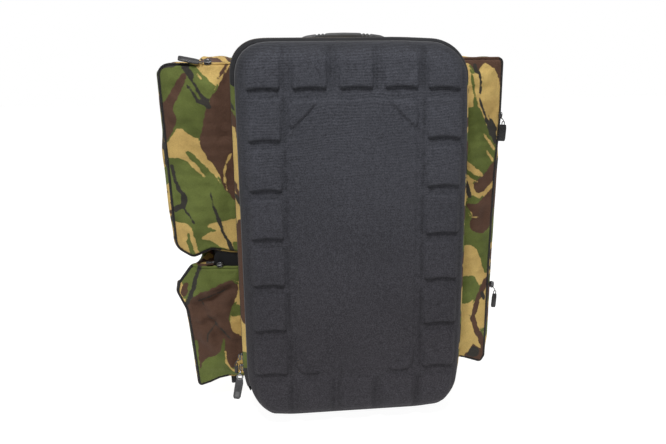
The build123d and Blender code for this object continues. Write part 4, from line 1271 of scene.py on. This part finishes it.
make_pocket(
    "left_upper", "door_left_upper",
    [(-176, 267), (-193, 270), (-225, 276), (-256, 263), (-283, 281), (-293, 574), (-176, 574)],
    [3, 20, 14, 12, 24, 18, 6],
    -206, PRINT_LEFT_UPPER, 7, 41, bare=(240, 560), top_rise=11, roll=(3.5, 300, 350, 440, 475),
    crest=(242, 224, 176, 184),
    folds=[((-290, 500), (-230, 470), 1.6, 12), ((-200, 380), (-260, 350), 1.8, 14)],
)
make_pocket(
    "left_lower", "door_left_lower",
    [(-176, 44), (-208, 47), (-224, 44), (-240, 37), (-260, 31), (-267, 125), (-272, 172), (-286, 204),
     (-283, 221), (-258, 254), (-247, 247), (-176, 244)],
    [6, 10, 10, 20, 5, 80, 30, 12, 10, 10, 6, 6],
    -206, PRINT_AND_CREASE_SHADE_LEFT_LOWER, 8, 47, bare=(256, 236), top_rise=17, crest=(254, 240, 214, 228),
    crumple=1.5, slope=34,
    folds=[((-264, 186), (-192, 220), 6.0, 8), ((-246, 184), (-204, 118), 5.4, 8),
           ((-262, 122), (-222, 92), 3.2, 9), ((-236, 244), (-184, 236), 2.4, 5),
           ((-258, 150), (-214, 168), 3.0, 7)],
)
make_pocket(
    "right", "door_right",
    [(176, 62), (208, 57), (240, 46), (247, 58), (248, 240), (251, 400), (255.5, 480), (255.5, 578),
     (176, 578)],
    [6, 20, 6, 7, 300, 200, 200, 9, 6],
    200, PRINT_RIGHT, 6, 53, bare=(247, 560), roll=(3.5, 60, 100, 410, 440),
    folds=[((200, 480), (245, 500), 1.4, 14), ((200, 300), (240, 330), 1.6, 12)],
)


def make_gap_shadow_panel():
    """Near-black panel set back between the two stacked pockets: a painted shadow for the dark gap
    between them.
    """
    corners = [(-178, 238), (-226, 238), (-222, 262), (-212, 290), (-178, 296)]
    outline, _ = rounded_polygon(corners, [2, 6, 6, 6, 2], 3)
    verts, faces, _ = cushion(outline, 4, -36, -32, edge=2)
    piece("pocket_gap_shadow_panel", verts[:, [0, 2, 1]], faces, GAP_SHADOW_FABRIC, "pack", slot="base_fabric")


make_gap_shadow_panel()

# ---------------------------------------------------------------- hard parts


def tube(path, radius, sides, closed=False):
    """Round bar along a 3-D path."""
    path = np.asarray(path, float)
    if closed:
        tangent = np.roll(path, -1, 0) - np.roll(path, 1, 0)
    else:
        tangent = np.gradient(path, axis=0)
    tangent /= np.linalg.norm(tangent, axis=1)[:, None]
    up = np.array([0, 0, 1.0]) if abs(tangent[0][2]) < 0.8 else np.array([0, 1.0, 0])
    rings = []
    for point, along in zip(path, tangent):
        right = np.cross(along, up)
        right /= np.linalg.norm(right)
        up = np.cross(right, along)
        angle = np.linspace(0, 2 * math.pi, sides, endpoint=False)
        rings.append(point + radius * (np.outer(np.cos(angle), right) + np.outer(np.sin(angle), up)))
    faces = grid_faces(len(path), sides, wrap_rows=closed, wrap_columns=True)
    if not closed:
        faces += [list(range(sides))[::-1], [(len(path) - 1) * sides + i for i in range(sides)]]
    return np.concatenate(rings), faces


def prism(outline, origin, across, along, thickness):
    """Flat plate: its outline in (across, along) about an origin, half its thickness each way."""
    across, along = np.array(across, float), np.array(along, float)
    across /= np.linalg.norm(across)
    along /= np.linalg.norm(along)
    normal = np.cross(across, along)
    flat = np.array(origin) + outline[:, :1] * across + outline[:, 1:2] * along
    n = len(outline)
    verts = np.concatenate([flat + normal * thickness / 2, flat - normal * thickness / 2])
    faces = [list(range(n)), list(range(n, 2 * n))[::-1]]
    faces += [[i, n + i, n + (i + 1) % n, (i + 1) % n] for i in range(n)]
    return verts, faces


def rounded_rect(width, length, corner, middle=(0, 0)):
    """Closed outline of a rounded rectangle."""
    w, h = width / 2, length / 2
    corners = [(-w, -h), (w, -h), (w, h), (-w, h)]
    outline, _ = rounded_polygon(corners, [corner] * 4, 0.7)
    return outline + np.array(middle)


def slider_shape(parts, centre, along, out, width, length):
    """Zip slider: two shield-shaped plates, the neck between them and the bridge on top."""
    gap = 3.4
    along, out = np.array(along, float), np.array(out, float)
    across = np.cross(along, out)
    half, reach = width / 2, length / 2
    shield = [(-half * 0.62, -reach), (half * 0.62, -reach), (half, reach * 0.35), (half * 0.62, reach),
              (-half * 0.62, reach), (-half, reach * 0.35)]
    plate, _ = rounded_polygon(shield, [1.0, 1.0, 1.4, 1.4, 1.4, 1.4], 0.8)
    centre = np.array(centre, float)
    parts.add(*prism(plate, centre, across, along, 1.5))
    parts.add(*prism(plate, centre - out * gap, across, along, 1.3))
    neck = rounded_rect(width * 0.3, length * 0.3, 0.6, (0, reach * 0.6))
    parts.add(*prism(neck, centre - out * gap / 2, across, along, gap))
    stops = ((-0.75, 0.4), (-0.68, 1.9), (-0.4, 2.9), (0.1, 3.1), (0.45, 2.6), (0.62, 1.5), (0.66, 0.4))
    bridge = [centre + along * reach * a + out * b for a, b in stops]
    parts.add(*tube(resample(np.array(bridge), count=16), 0.85, 8))


def puller_shape(parts, hinge, along, across, width, length, thickness):
    """Moulded pull tab hanging from a wire loop."""
    hinge, along = np.array(hinge, float), np.array(along, float)
    along /= np.linalg.norm(along)
    across = np.array(across, float) / np.linalg.norm(across)
    neck, shoulder = min(5.0, length * 0.25), min(11.0, length * 0.5)
    stops = ((-1, neck + 1.5), (-1, 1.2), (-0.6, 0), (0.6, 0), (1, 1.2), (1, neck + 1.5))
    loop = [hinge + across * s * 2.0 + along * t for s, t in stops]
    parts.add(*tube(resample(np.array(loop), count=18), 0.8, 8))
    w = width / 2
    corners = [(-w * 0.84, neck), (w * 0.84, neck), (w, shoulder), (w, length - 3.5), (w * 0.8, length),
               (-w * 0.8, length), (-w, length - 3.5), (-w, shoulder)]
    outline, _ = rounded_polygon(corners, [1.2, 1.2, 1.5, 1.2, 1.0, 1.0, 1.2, 1.5], 0.8)
    parts.add(*prism(outline, hinge, across, along, thickness))
    inner = [(x * 0.72, neck + (z - neck) * 0.8 + length * 0.08) for x, z in outline]
    parts.add(*prism(np.array(inner), hinge, across, along, thickness + 0.7))


def make_slider(name, body, node, centre, along, out, size, bar=(), bar_radius=0.8, bar_points=12):
    """A zip slider as one piece, with the wire bar that leads to its puller."""
    slider = Parts()
    slider_shape(slider, centre, along, out, *size)
    if bar:
        slider.add(*tube(resample(np.array(bar), count=bar_points), bar_radius, 8))
    made = slider.piece(name, NICKEL, body, slot="slider_metal", replaces=[node])
    bevel(made, 0.25)


def make_puller(name, body, node, hinge, along, across, size, soft=0.5, segments=2):
    """A moulded puller as one piece. Its size is (width, length, thickness)."""
    pull = Parts()
    puller_shape(pull, hinge, along, across, *size)
    bevel(pull.piece(name, GLOSS_PULL, body, slot="rubber_pull", replaces=[node]), soft, segments)


def make_main_tab():
    """O-ring and ribbed rubber tab of the main zip's lower slider."""
    body = "main_pull_low"
    ring_centre = (-186.2, -97, 73)
    top = np.array((-186.2, -97.0, 70.6))
    face = top - (0, 1.0, 0)
    down = np.array([-0.2, 0, -1.0])
    across = np.array([-1.0, 0, 0.2])
    turn = np.linspace(0, 2 * math.pi, 48, endpoint=False)
    ring = np.stack([4.4 * np.cos(turn), 0 * turn, 4.6 * np.sin(turn)], 1) + ring_centre
    piece("main_puller_o_ring", *tube(ring, 1.3, 12, closed=True), DARK_METAL, body,
          slot="slider_metal", replaces=["main_puller_ring"])

    outline, _ = rounded_polygon(
        [(-4.6, 0), (4.6, 0), (6.2, 8), (5.9, 33), (4.2, 37), (-4.2, 37), (-5.9, 33), (-6.2, 8)],
        [2, 2, 4, 4, 2.5, 2.5, 4, 4], 0.8,
    )
    tab = piece("main_tab_body", *prism(outline, top, across, down, 2.2), PULL_RUBBER, body,
                slot="rubber_pull", replaces=["main_puller_tab"])
    bevel(tab, 0.6, 3)
    unit_across, unit_down = across / np.linalg.norm(across), down / np.linalg.norm(down)
    rim = outline * (0.98, 0.985) + (0, 0.3)
    lip = [top - (0, 0.9, 0) + unit_across * u + unit_down * v for u, v in rim]
    piece("main_tab_lip", *tube(lip, 0.55, 6, closed=True), PULL_RUBBER, body, slot="rubber_pull")
    plate = prism(rounded_rect(6.4, 9, 1.2, (0, 28.5)), face, across, down, 0.9)
    bevel(piece("main_tab_panel", *plate, PULL_PANEL, body, slot="rubber_pull"), 0.25)
    ribs = Parts()
    for step in range(5):
        ribs.add(*prism(rounded_rect(7.4, 1.1, 0.4, (0, 12.0 + step * 2.4)), face, across, down, 0.8))
    ribs.piece("main_tab_ribs", PULL_RUBBER, body, slot="rubber_pull")


UP, DOWN, LEFT, RIGHT, BACK = (0, 0, 1), (0, 0, -1), (-1, 0, 0), (1, 0, 0), (0, 1, 0)

# main zip: the lower slider carries the ring and tab, the upper one a small puller
make_slider(
    "main_slider_lower_body", "main_slider_low", "main_slider_lower",
    (-184.2, -88.2, 85.5), UP, LEFT, (10.5, 13),
    [(-184.0, -91.0, 82.0), (-184.4, -94.0, 80.6), (-186.2, -97.0, 78.2), (-186.2, -98.2, 79.4),
     (-184.6, -95.6, 82.4), (-184.4, -92.5, 84.5)],
    bar_radius=0.75, bar_points=24,
)
make_main_tab()
make_slider(
    "main_slider_upper_body", "main_slider_high", "main_slider_upper",
    (-184.2, -86.4, 104.5), UP, LEFT, (9.5, 12.5),
    [(-185.5, -87, 99), (-188, -88.4, 98.2), (-191.2, -89, 97.0), (-191.6, -89, 94.6)],
)
make_puller("main_pull_upper_tab", "main_pull_high", "main_puller_upper",
            (-191.6, -89, 94), DOWN, RIGHT, (6, 18, 2.0), 0.3)

# stacked pockets: sliders over the top edges, with lying pullers
make_slider("slider_left_upper_body", "slide_left_upper", "slider_left_upper",
            (-215, -41, 576.6), LEFT, (0, -0.6, 0.8), (9, 12))
make_puller("pull_left_upper_tab", "pull_left_upper", "puller_left_upper",
            (-223, -44, 574.5), (-1, 0, 0.2), (0.05, 0.75, 0.62), (10, 37, 2.6), 0.7, 3)
make_slider("slider_left_lower_body", "slide_left_lower", "slider_left_lower",
            (-213, -41, 250.6), LEFT, (0, -0.5, 0.86), (9, 11))
make_puller("pull_left_lower_tab", "pull_left_lower", "puller_left_lower",
            (-221.5, -40, 253.8), LEFT, BACK, (8, 14, 2.0))

# tall pocket: two sliders on its outer edge, with hanging pullers
for end, z, size in (("right_upper", 476, (12, 32, 2.4)), ("right_lower", 184, (8, 30, 2.2))):
    make_slider(
        f"slider_{end}_body", f"slide_{end}", f"slider_{end}",
        (254.0, -42.2, z + 9), UP, (0.4, -0.9, 0), (8, 11),
        [(254.5, -44.5, z + 6), (255.6, -47.5, z + 4), (256.5, -50, z + 2), (256.5, -50, z)],
    )
    make_puller(f"pull_{end}_tab", f"pull_{end}", f"puller_{end}",
                (256.5, -50, z), (-0.06, 0, -1), (1, 0, -0.06), size)


def make_handle():
    """Moulded grab handle with finger grooves near both ends."""
    right = [(0, 614), (22, 613.5), (42, 612.1), (58, 609.9), (68, 607.1), (73, 603.4), (74.5, 599)]
    path = [(-x, z) for x, z in right[:0:-1]] + right
    path = resample(np.array(path), count=230)
    normals = side_normals(path)
    sides = 28
    angle = np.linspace(0, 2 * math.pi, sides, endpoint=False)
    across = 8.0 * np.sign(np.cos(angle)) * np.abs(np.cos(angle)) ** 0.6
    up = 5.4 * np.sign(np.sin(angle)) * np.abs(np.sin(angle)) ** 0.6
    rings = []
    for (x, z), normal in zip(path, normals):
        groove = sum(math.exp(-(((abs(x) - at) / 1.5) ** 2)) for at in (30, 36, 42))
        taper = 1 - 0.3 * float(smooth(60, 73, abs(x)))
        share = (1 - 0.34 * groove) * taper
        depth = across * (1 - 0.1 * groove) * taper
        rings.append(np.column_stack([x + normal[0] * up * share, depth, z + normal[1] * up * share]))
    faces = grid_faces(len(rings), sides, wrap_columns=True)
    faces += [list(range(sides))[::-1], [(len(rings) - 1) * sides + i for i in range(sides)]]
    handle = Parts().add(np.concatenate(rings), faces)
    for side in (-1, 1):
        pin = np.array([(side * 70, 0, 601), (side * 89.5, 0, 601)], float)
        handle.add(*tube(resample(pin, count=6), 2.9, 16))
    handle.piece("handle_grip_moulding", HANDLE_RUBBER, "handle",
                 slot="handle_rubber", replaces=["handle_grip"])


make_handle()

# ---------------------------------------------------------------- carrying system


def back_cushion(name, half_width, bottom, top, corner, thickness, centre_x, channels, node, seed):
    """Foam pad on the back, with pressed channels across it."""
    out = 95 + thickness
    edge = [(2.5, 95.2), (0.4, 96.4), (0, 98.5)]
    edge += superellipse_edge(15, 99.0, out, power=2.1, count=12)[1:]
    verts, faces = panel(half_width, bottom, top, corner, edge, 2.6, centre_x=centre_x)
    flat = verts[:, [0, 2]]
    middle, half = (centre_x, (bottom + top) / 2), (half_width, (top - bottom) / 2)
    inward = smooth(4, 18, -box_distance(flat, middle, half, corner))
    groove = np.zeros(len(verts))
    for z in channels:
        groove = np.maximum(groove, np.exp(-(((verts[:, 2] - z) / 4.5) ** 2)))
    verts[:, 1] -= inward * (5.5 * groove + 0.4 * ripple(flat, 40, seed))
    pad = piece(name, verts, faces, AIR_MESH, "pack", slot="air_mesh", replaces=[node])
    outline, normals = rounded_polygon(
        [(centre_x - half_width, bottom), (centre_x + half_width, bottom),
         (centre_x + half_width, top), (centre_x - half_width, top)], [corner] * 4, 3)
    swept(f"{name}_piping", outline, normals, round_profile((-0.4, 97.0), 1.5, 8), PIPING, "pack",
          closed=True, slot="binding_tape")


for side, side_name in SIDES:
    back_cushion(f"back_cushion_{side_name}", 36, 125, 470, 18, 18, side * 62,
                 [193, 262, 332, 402], f"back_pad_{side_name}", 61 + side)
back_cushion("lumbar_cushion", 70, 50, 115, 18, 17, 0, [], "lumbar_pad", 64)

STRAP_LEAN = math.atan2(80, 495)


def strap_frame(side):
    """Origin, outward (Y), upward and width directions of a shoulder strap's plane."""
    origin = np.array([side * 62.0, 0, 540])
    up = np.array([-side * math.sin(STRAP_LEAN), 0, math.cos(STRAP_LEAN)])
    wide = np.array([math.cos(STRAP_LEAN), 0, side * math.sin(STRAP_LEAN)])
    return origin, np.array([0, 1.0, 0]), up, wide


def circle_through(a, b, c):
    """Centre and radius of the circle through three points."""
    (ax, ay), (bx, by), (cx, cy) = a, b, c
    d = 2 * (ax * (by - cy) + bx * (cy - ay) + cx * (ay - by))
    x = ((ax**2 + ay**2) * (by - cy) + (bx**2 + by**2) * (cy - ay) + (cx**2 + cy**2) * (ay - by)) / d
    y = ((ax**2 + ay**2) * (cx - bx) + (bx**2 + by**2) * (ax - cx) + (cx**2 + cy**2) * (bx - ax)) / d
    return np.array([x, y]), math.hypot(ax - x, ay - y)


def make_strap(side, side_name):
    """One shoulder strap: its padded sleeve, edge binding, sewn-on webbing and stitching."""
    body = f"strap_{side_name}"
    origin, outward, up, wide = strap_frame(side)
    top, middle, bottom = (120, 10), (163, -130), (139, -278)
    centre, radius = circle_through(top, middle, bottom)
    first = math.atan2(top[1] - centre[1], top[0] - centre[0])
    last = math.atan2(bottom[1] - centre[1], bottom[0] - centre[0])
    length = radius * (first - last)

    def place(across, run, height):
        """A point across the pad, along it and above its middle layer."""
        angle = first - np.asarray(run) / radius
        reach = radius + np.asarray(height)
        local_y = centre[0] + reach * np.cos(angle)
        local_up = centre[1] + reach * np.sin(angle)
        return (origin + np.multiply.outer(local_y, outward) + np.multiply.outer(local_up, up)
                + np.multiply.outer(np.asarray(across), wide))

    corners = [(-18, 1), (18, 1), (24, 30), (31, 80), (31, 230), (18, length - 1), (-18, length - 1),
               (-31, 230), (-31, 80), (-24, 30)]
    outline, _ = rounded_polygon(corners, [6, 6, 30, 40, 40, 6, 6, 40, 40, 30], 2.6)
    verts, faces, depth = cushion(outline, 3.4, -6.6, 6.6, edge=9, power=2.0)
    seam = np.exp(-(((np.abs(depth) - 8.5) / 2.0) ** 2)) * smooth(0, 6, np.abs(depth))
    verts[:, 2] -= np.sign(depth) * (seam * 1.2)
    verts[:, 2] += 0.5 * smooth(0, 12, np.abs(depth)) * ripple(verts[:, :2], 45, 71 + side)
    pad = piece(f"shoulder_cushion_{side_name}", place(*verts.T), faces, AIR_MESH, body,
                slot="air_mesh", replaces=[f"shoulder_pad_{side_name}"])
    rim = place(outline[:, 0], outline[:, 1], np.zeros(len(outline)))
    piece(f"shoulder_binding_{side_name}", *tube(rim, 1.7, 8, closed=True), PIPING, body,
          slot="binding_tape")

    # webbing sewn down the middle of the pad's outer face
    run = np.linspace(14, length - 4, 70)
    section = ((-12.5, 6.0), (-12.5, 7.2), (-11.5, 7.9), (11.5, 7.9), (12.5, 7.2), (12.5, 6.0))
    rows = [place(np.full(len(run), a), run, np.full(len(run), h)) for a, h in section]
    faces = grid_faces(len(section), len(run), wrap_rows=True)
    piece(f"shoulder_webbing_{side_name}", np.concatenate(rows), faces, WEBBING, body,
          slot="black_webbing")
    stitches = Parts()
    for share in (22, 40, 228, 250, 268):
        for a in np.arange(-10, 10.1, 2.5):
            bit = place(np.array([a - 0.8, a + 0.8]), np.array([share, share]), np.array([8.1, 8.1]))
            stitches.add(*tube(bit, 0.35, 6))
    stitches.piece(f"shoulder_stitching_{side_name}", BINDING, body, slot="binding_tape")


def make_belt_wing(side, side_name):
    """Padded wing of the waist belt, folded forward beside the back."""
    body = f"belt_{side_name}"
    corners = [(103.5, 52), (165, 64), (165, 100), (103.5, 112)]
    outline, _ = rounded_polygon(corners, [3, 13, 13, 3], 2.2)
    verts, faces, depth = cushion(outline, 2.8, -5, 5, edge=7, power=2.0)
    verts[:, 2] -= np.sign(depth) * 1.1 * np.exp(-(((np.abs(depth) - 9) / 1.8) ** 2))
    places = np.column_stack([side * 93 + verts[:, 2], verts[:, 0], verts[:, 1]])
    wing = piece(f"belt_cushion_{side_name}", places, faces, AIR_MESH, body,
                 slot="air_mesh", replaces=[f"belt_wing_{side_name}"])
    rim = np.column_stack([np.full(len(outline), side * 93.0), outline[:, 0], outline[:, 1]])
    piece(f"belt_binding_{side_name}", *tube(rim, 1.5, 8, closed=True), PIPING, body,
          slot="binding_tape")


def make_yoke_stitching():
    """Box-and-cross stitching where the straps are sewn to the yoke."""
    corners = [(-17, 522), (17, 522), (17, 558), (-17, 558)]
    marks = [*zip(corners, corners[1:] + corners[:1]), (corners[0], corners[2]), (corners[3], corners[1])]
    stitches = Parts()
    for middle in (-62, 62):
        for start, end in marks:
            start, end = np.array(start, float), np.array(end, float)
            length = np.linalg.norm(end - start)
            for t in np.arange(0.04, 0.97, 3.4 / length):
                a, b = start + (end - start) * t, start + (end - start) * (t + 1.9 / length)
                ends = [(middle + a[0], 99.3, a[1]), (middle + b[0], 99.3, b[1])]
                stitches.add(*tube(ends, 0.4, 6))
    stitches.piece("yoke_stitching", BINDING, "pack", slot="binding_tape")


for side, side_name in SIDES:
    make_strap(side, side_name)
for side, side_name in SIDES:
    make_belt_wing(side, side_name)
make_yoke_stitching()

# CAD pieces that are shown as they are: material, slot and how far their edges are softened (mm)
KEPT = {
    "frame_sheet": (FRAME_PLASTIC, "frame_plastic", 0.0),
    "strap_yoke": (WEBBING, "black_webbing", 1.0),
    "handle_anchor_left": (HANDLE_RUBBER, "handle_rubber", 2.0),
    "handle_anchor_right": (HANDLE_RUBBER, "handle_rubber", 2.0),
    "belt_buckle_socket": (ACETAL, "black_acetal", 1.0),
    "belt_buckle_plug": (ACETAL, "black_acetal", 0.5),
}
for side_name in ("left", "right"):
    KEPT[f"strap_anchor_{side_name}"] = (WEBBING, "black_webbing", 0.4)
    KEPT[f"strap_root_{side_name}"] = (WEBBING, "black_webbing", 1.0)
    KEPT[f"ladder_lock_{side_name}"] = (ACETAL, "black_acetal", 0.8)
    KEPT[f"strap_webbing_{side_name}"] = (WEBBING, "black_webbing", 0.3)
    KEPT[f"belt_webbing_{side_name}"] = (WEBBING, "black_webbing", 0.3)


def dress_kept_nodes():
    """Gives the kept CAD pieces their materials and soft edges."""
    for node, (material, slot, soft) in KEPT.items():
        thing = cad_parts[node]
        thing.data.materials.clear()
        thing.data.materials.append(material)
        if soft:
            weld = thing.modifiers.new("weld", "WELD")
            weld.merge_threshold = 0.02 * MM
            bevel(thing, soft, 3, angle=30)


def make_webbing_end():
    """Ribbed webbing end showing under the lower stacked pocket."""
    across, down = (1, 0, 0.05), (0.05, 0, -1)
    tab = Parts().add(*prism(rounded_rect(9, 26, 1.5), (-200, -33.5, 44), across, down, 1.6))
    for step in range(7):
        rib = rounded_rect(9.4, 1.0, 0.4, (0, -9 + step * 3.2))
        tab.add(*prism(rib, (-200, -34.2, 44), across, down, 1.2))
    tab.piece("pocket_left_lower_webbing_end", WEBBING, "pack", slot="black_webbing")


dress_kept_nodes()
make_webbing_end()

# ---------------------------------------------------------------- studio


def lamp(name, place, target, size, power, colour=(1, 1, 1)):
    """Round area light aimed at a point, in metres and watts."""
    data = bpy.data.lights.new(name, "AREA")
    data.shape = "DISK"
    data.size = size
    data.energy = power
    data.color = colour
    thing = bpy.data.objects.new(name, data)
    bpy.context.scene.collection.objects.link(thing)
    thing.location = place
    aim = Vector(target) - Vector(place)
    thing.rotation_euler = aim.to_track_quat("-Z", "Y").to_euler()


def make_studio():
    """White floor and surroundings that fall off towards the back, and two lights."""
    shade = Shade("studio_white", roughness=0.9, specular=0.0)
    shade.surface.inputs["Emission Color"].default_value = (1, 1, 1, 1)
    split = shade.tree.nodes.new("ShaderNodeSeparateXYZ")
    shade.put(shade.place, split.inputs[0])
    glow = shade.span(split.outputs["Y"], -0.75, -0.2, 0.3, 0.95)
    shade.put(glow, shade.surface.inputs["Emission Strength"])
    shade.done((0.25, 0.25, 0.25, 1))
    floor = piece("floor", [(-9000, -9000, 0), (9000, -9000, 0), (9000, 9000, 0), (-9000, 9000, 0)],
                  [(0, 1, 2, 3)], shade.material, flat=True)
    world = bpy.data.worlds.new("studio")
    world.use_nodes = True
    tree = world.node_tree
    direction = tree.nodes.new("ShaderNodeSeparateXYZ")
    tree.links.new(tree.nodes.new("ShaderNodeTexCoord").outputs["Generated"], direction.inputs[0])
    cove = tree.nodes.new("ShaderNodeMapRange")
    cove.interpolation_type = "SMOOTHSTEP"
    for value, socket in zip((None, 0.1, 0.6, 0.22, 1.0), cove.inputs):
        if value is not None:
            socket.default_value = value
    tree.links.new(direction.outputs["Y"], cove.inputs[0])
    tree.nodes["Background"].inputs["Color"].default_value = (1, 1, 1, 1)
    tree.links.new(cove.outputs[0], tree.nodes["Background"].inputs["Strength"])
    bpy.context.scene.world = world
    bpy.context.scene.view_settings.view_transform = "Standard"
    lamp("key", (-0.3, -1.45, 2.35), (0, 0, 0.38), 0.6, 46, (0.97, 0.98, 1.0))
    lamp("overhead", (0.2, -0.3, 2.6), (0, 0, 0.4), 1.2, 8)


CAMERA_PLACE = (-0.131, -1.085, 0.570)
CAMERA_LENS = 35.135
CAMERA_YAW, CAMERA_PITCH, CAMERA_ROLL = 5.85, 13.65, -0.65


def make_camera():
    """The photo's view: turned right by the yaw, down by the pitch and rolled, in degrees."""
    data = bpy.data.cameras.new("photo_camera")
    data.lens = CAMERA_LENS
    data.sensor_width = 36.0
    data.clip_end = 40
    thing = bpy.data.objects.new("photo_camera", data)
    bpy.context.scene.collection.objects.link(thing)
    yaw, pitch, roll = (math.radians(turn) for turn in (CAMERA_YAW, CAMERA_PITCH, CAMERA_ROLL))
    forward = Vector((math.sin(yaw) * math.cos(pitch), math.cos(yaw) * math.cos(pitch), -math.sin(pitch)))
    right = Vector((math.cos(yaw), -math.sin(yaw), 0))
    up = right.cross(forward)
    turned_right = right * math.cos(roll) + up * math.sin(roll)
    turned_up = up * math.cos(roll) - right * math.sin(roll)
    matrix = Matrix((turned_right, turned_up, -forward)).transposed().to_4x4()
    matrix.translation = CAMERA_PLACE
    thing.matrix_world = matrix
    bpy.context.scene.camera = thing


make_studio()
make_camera()
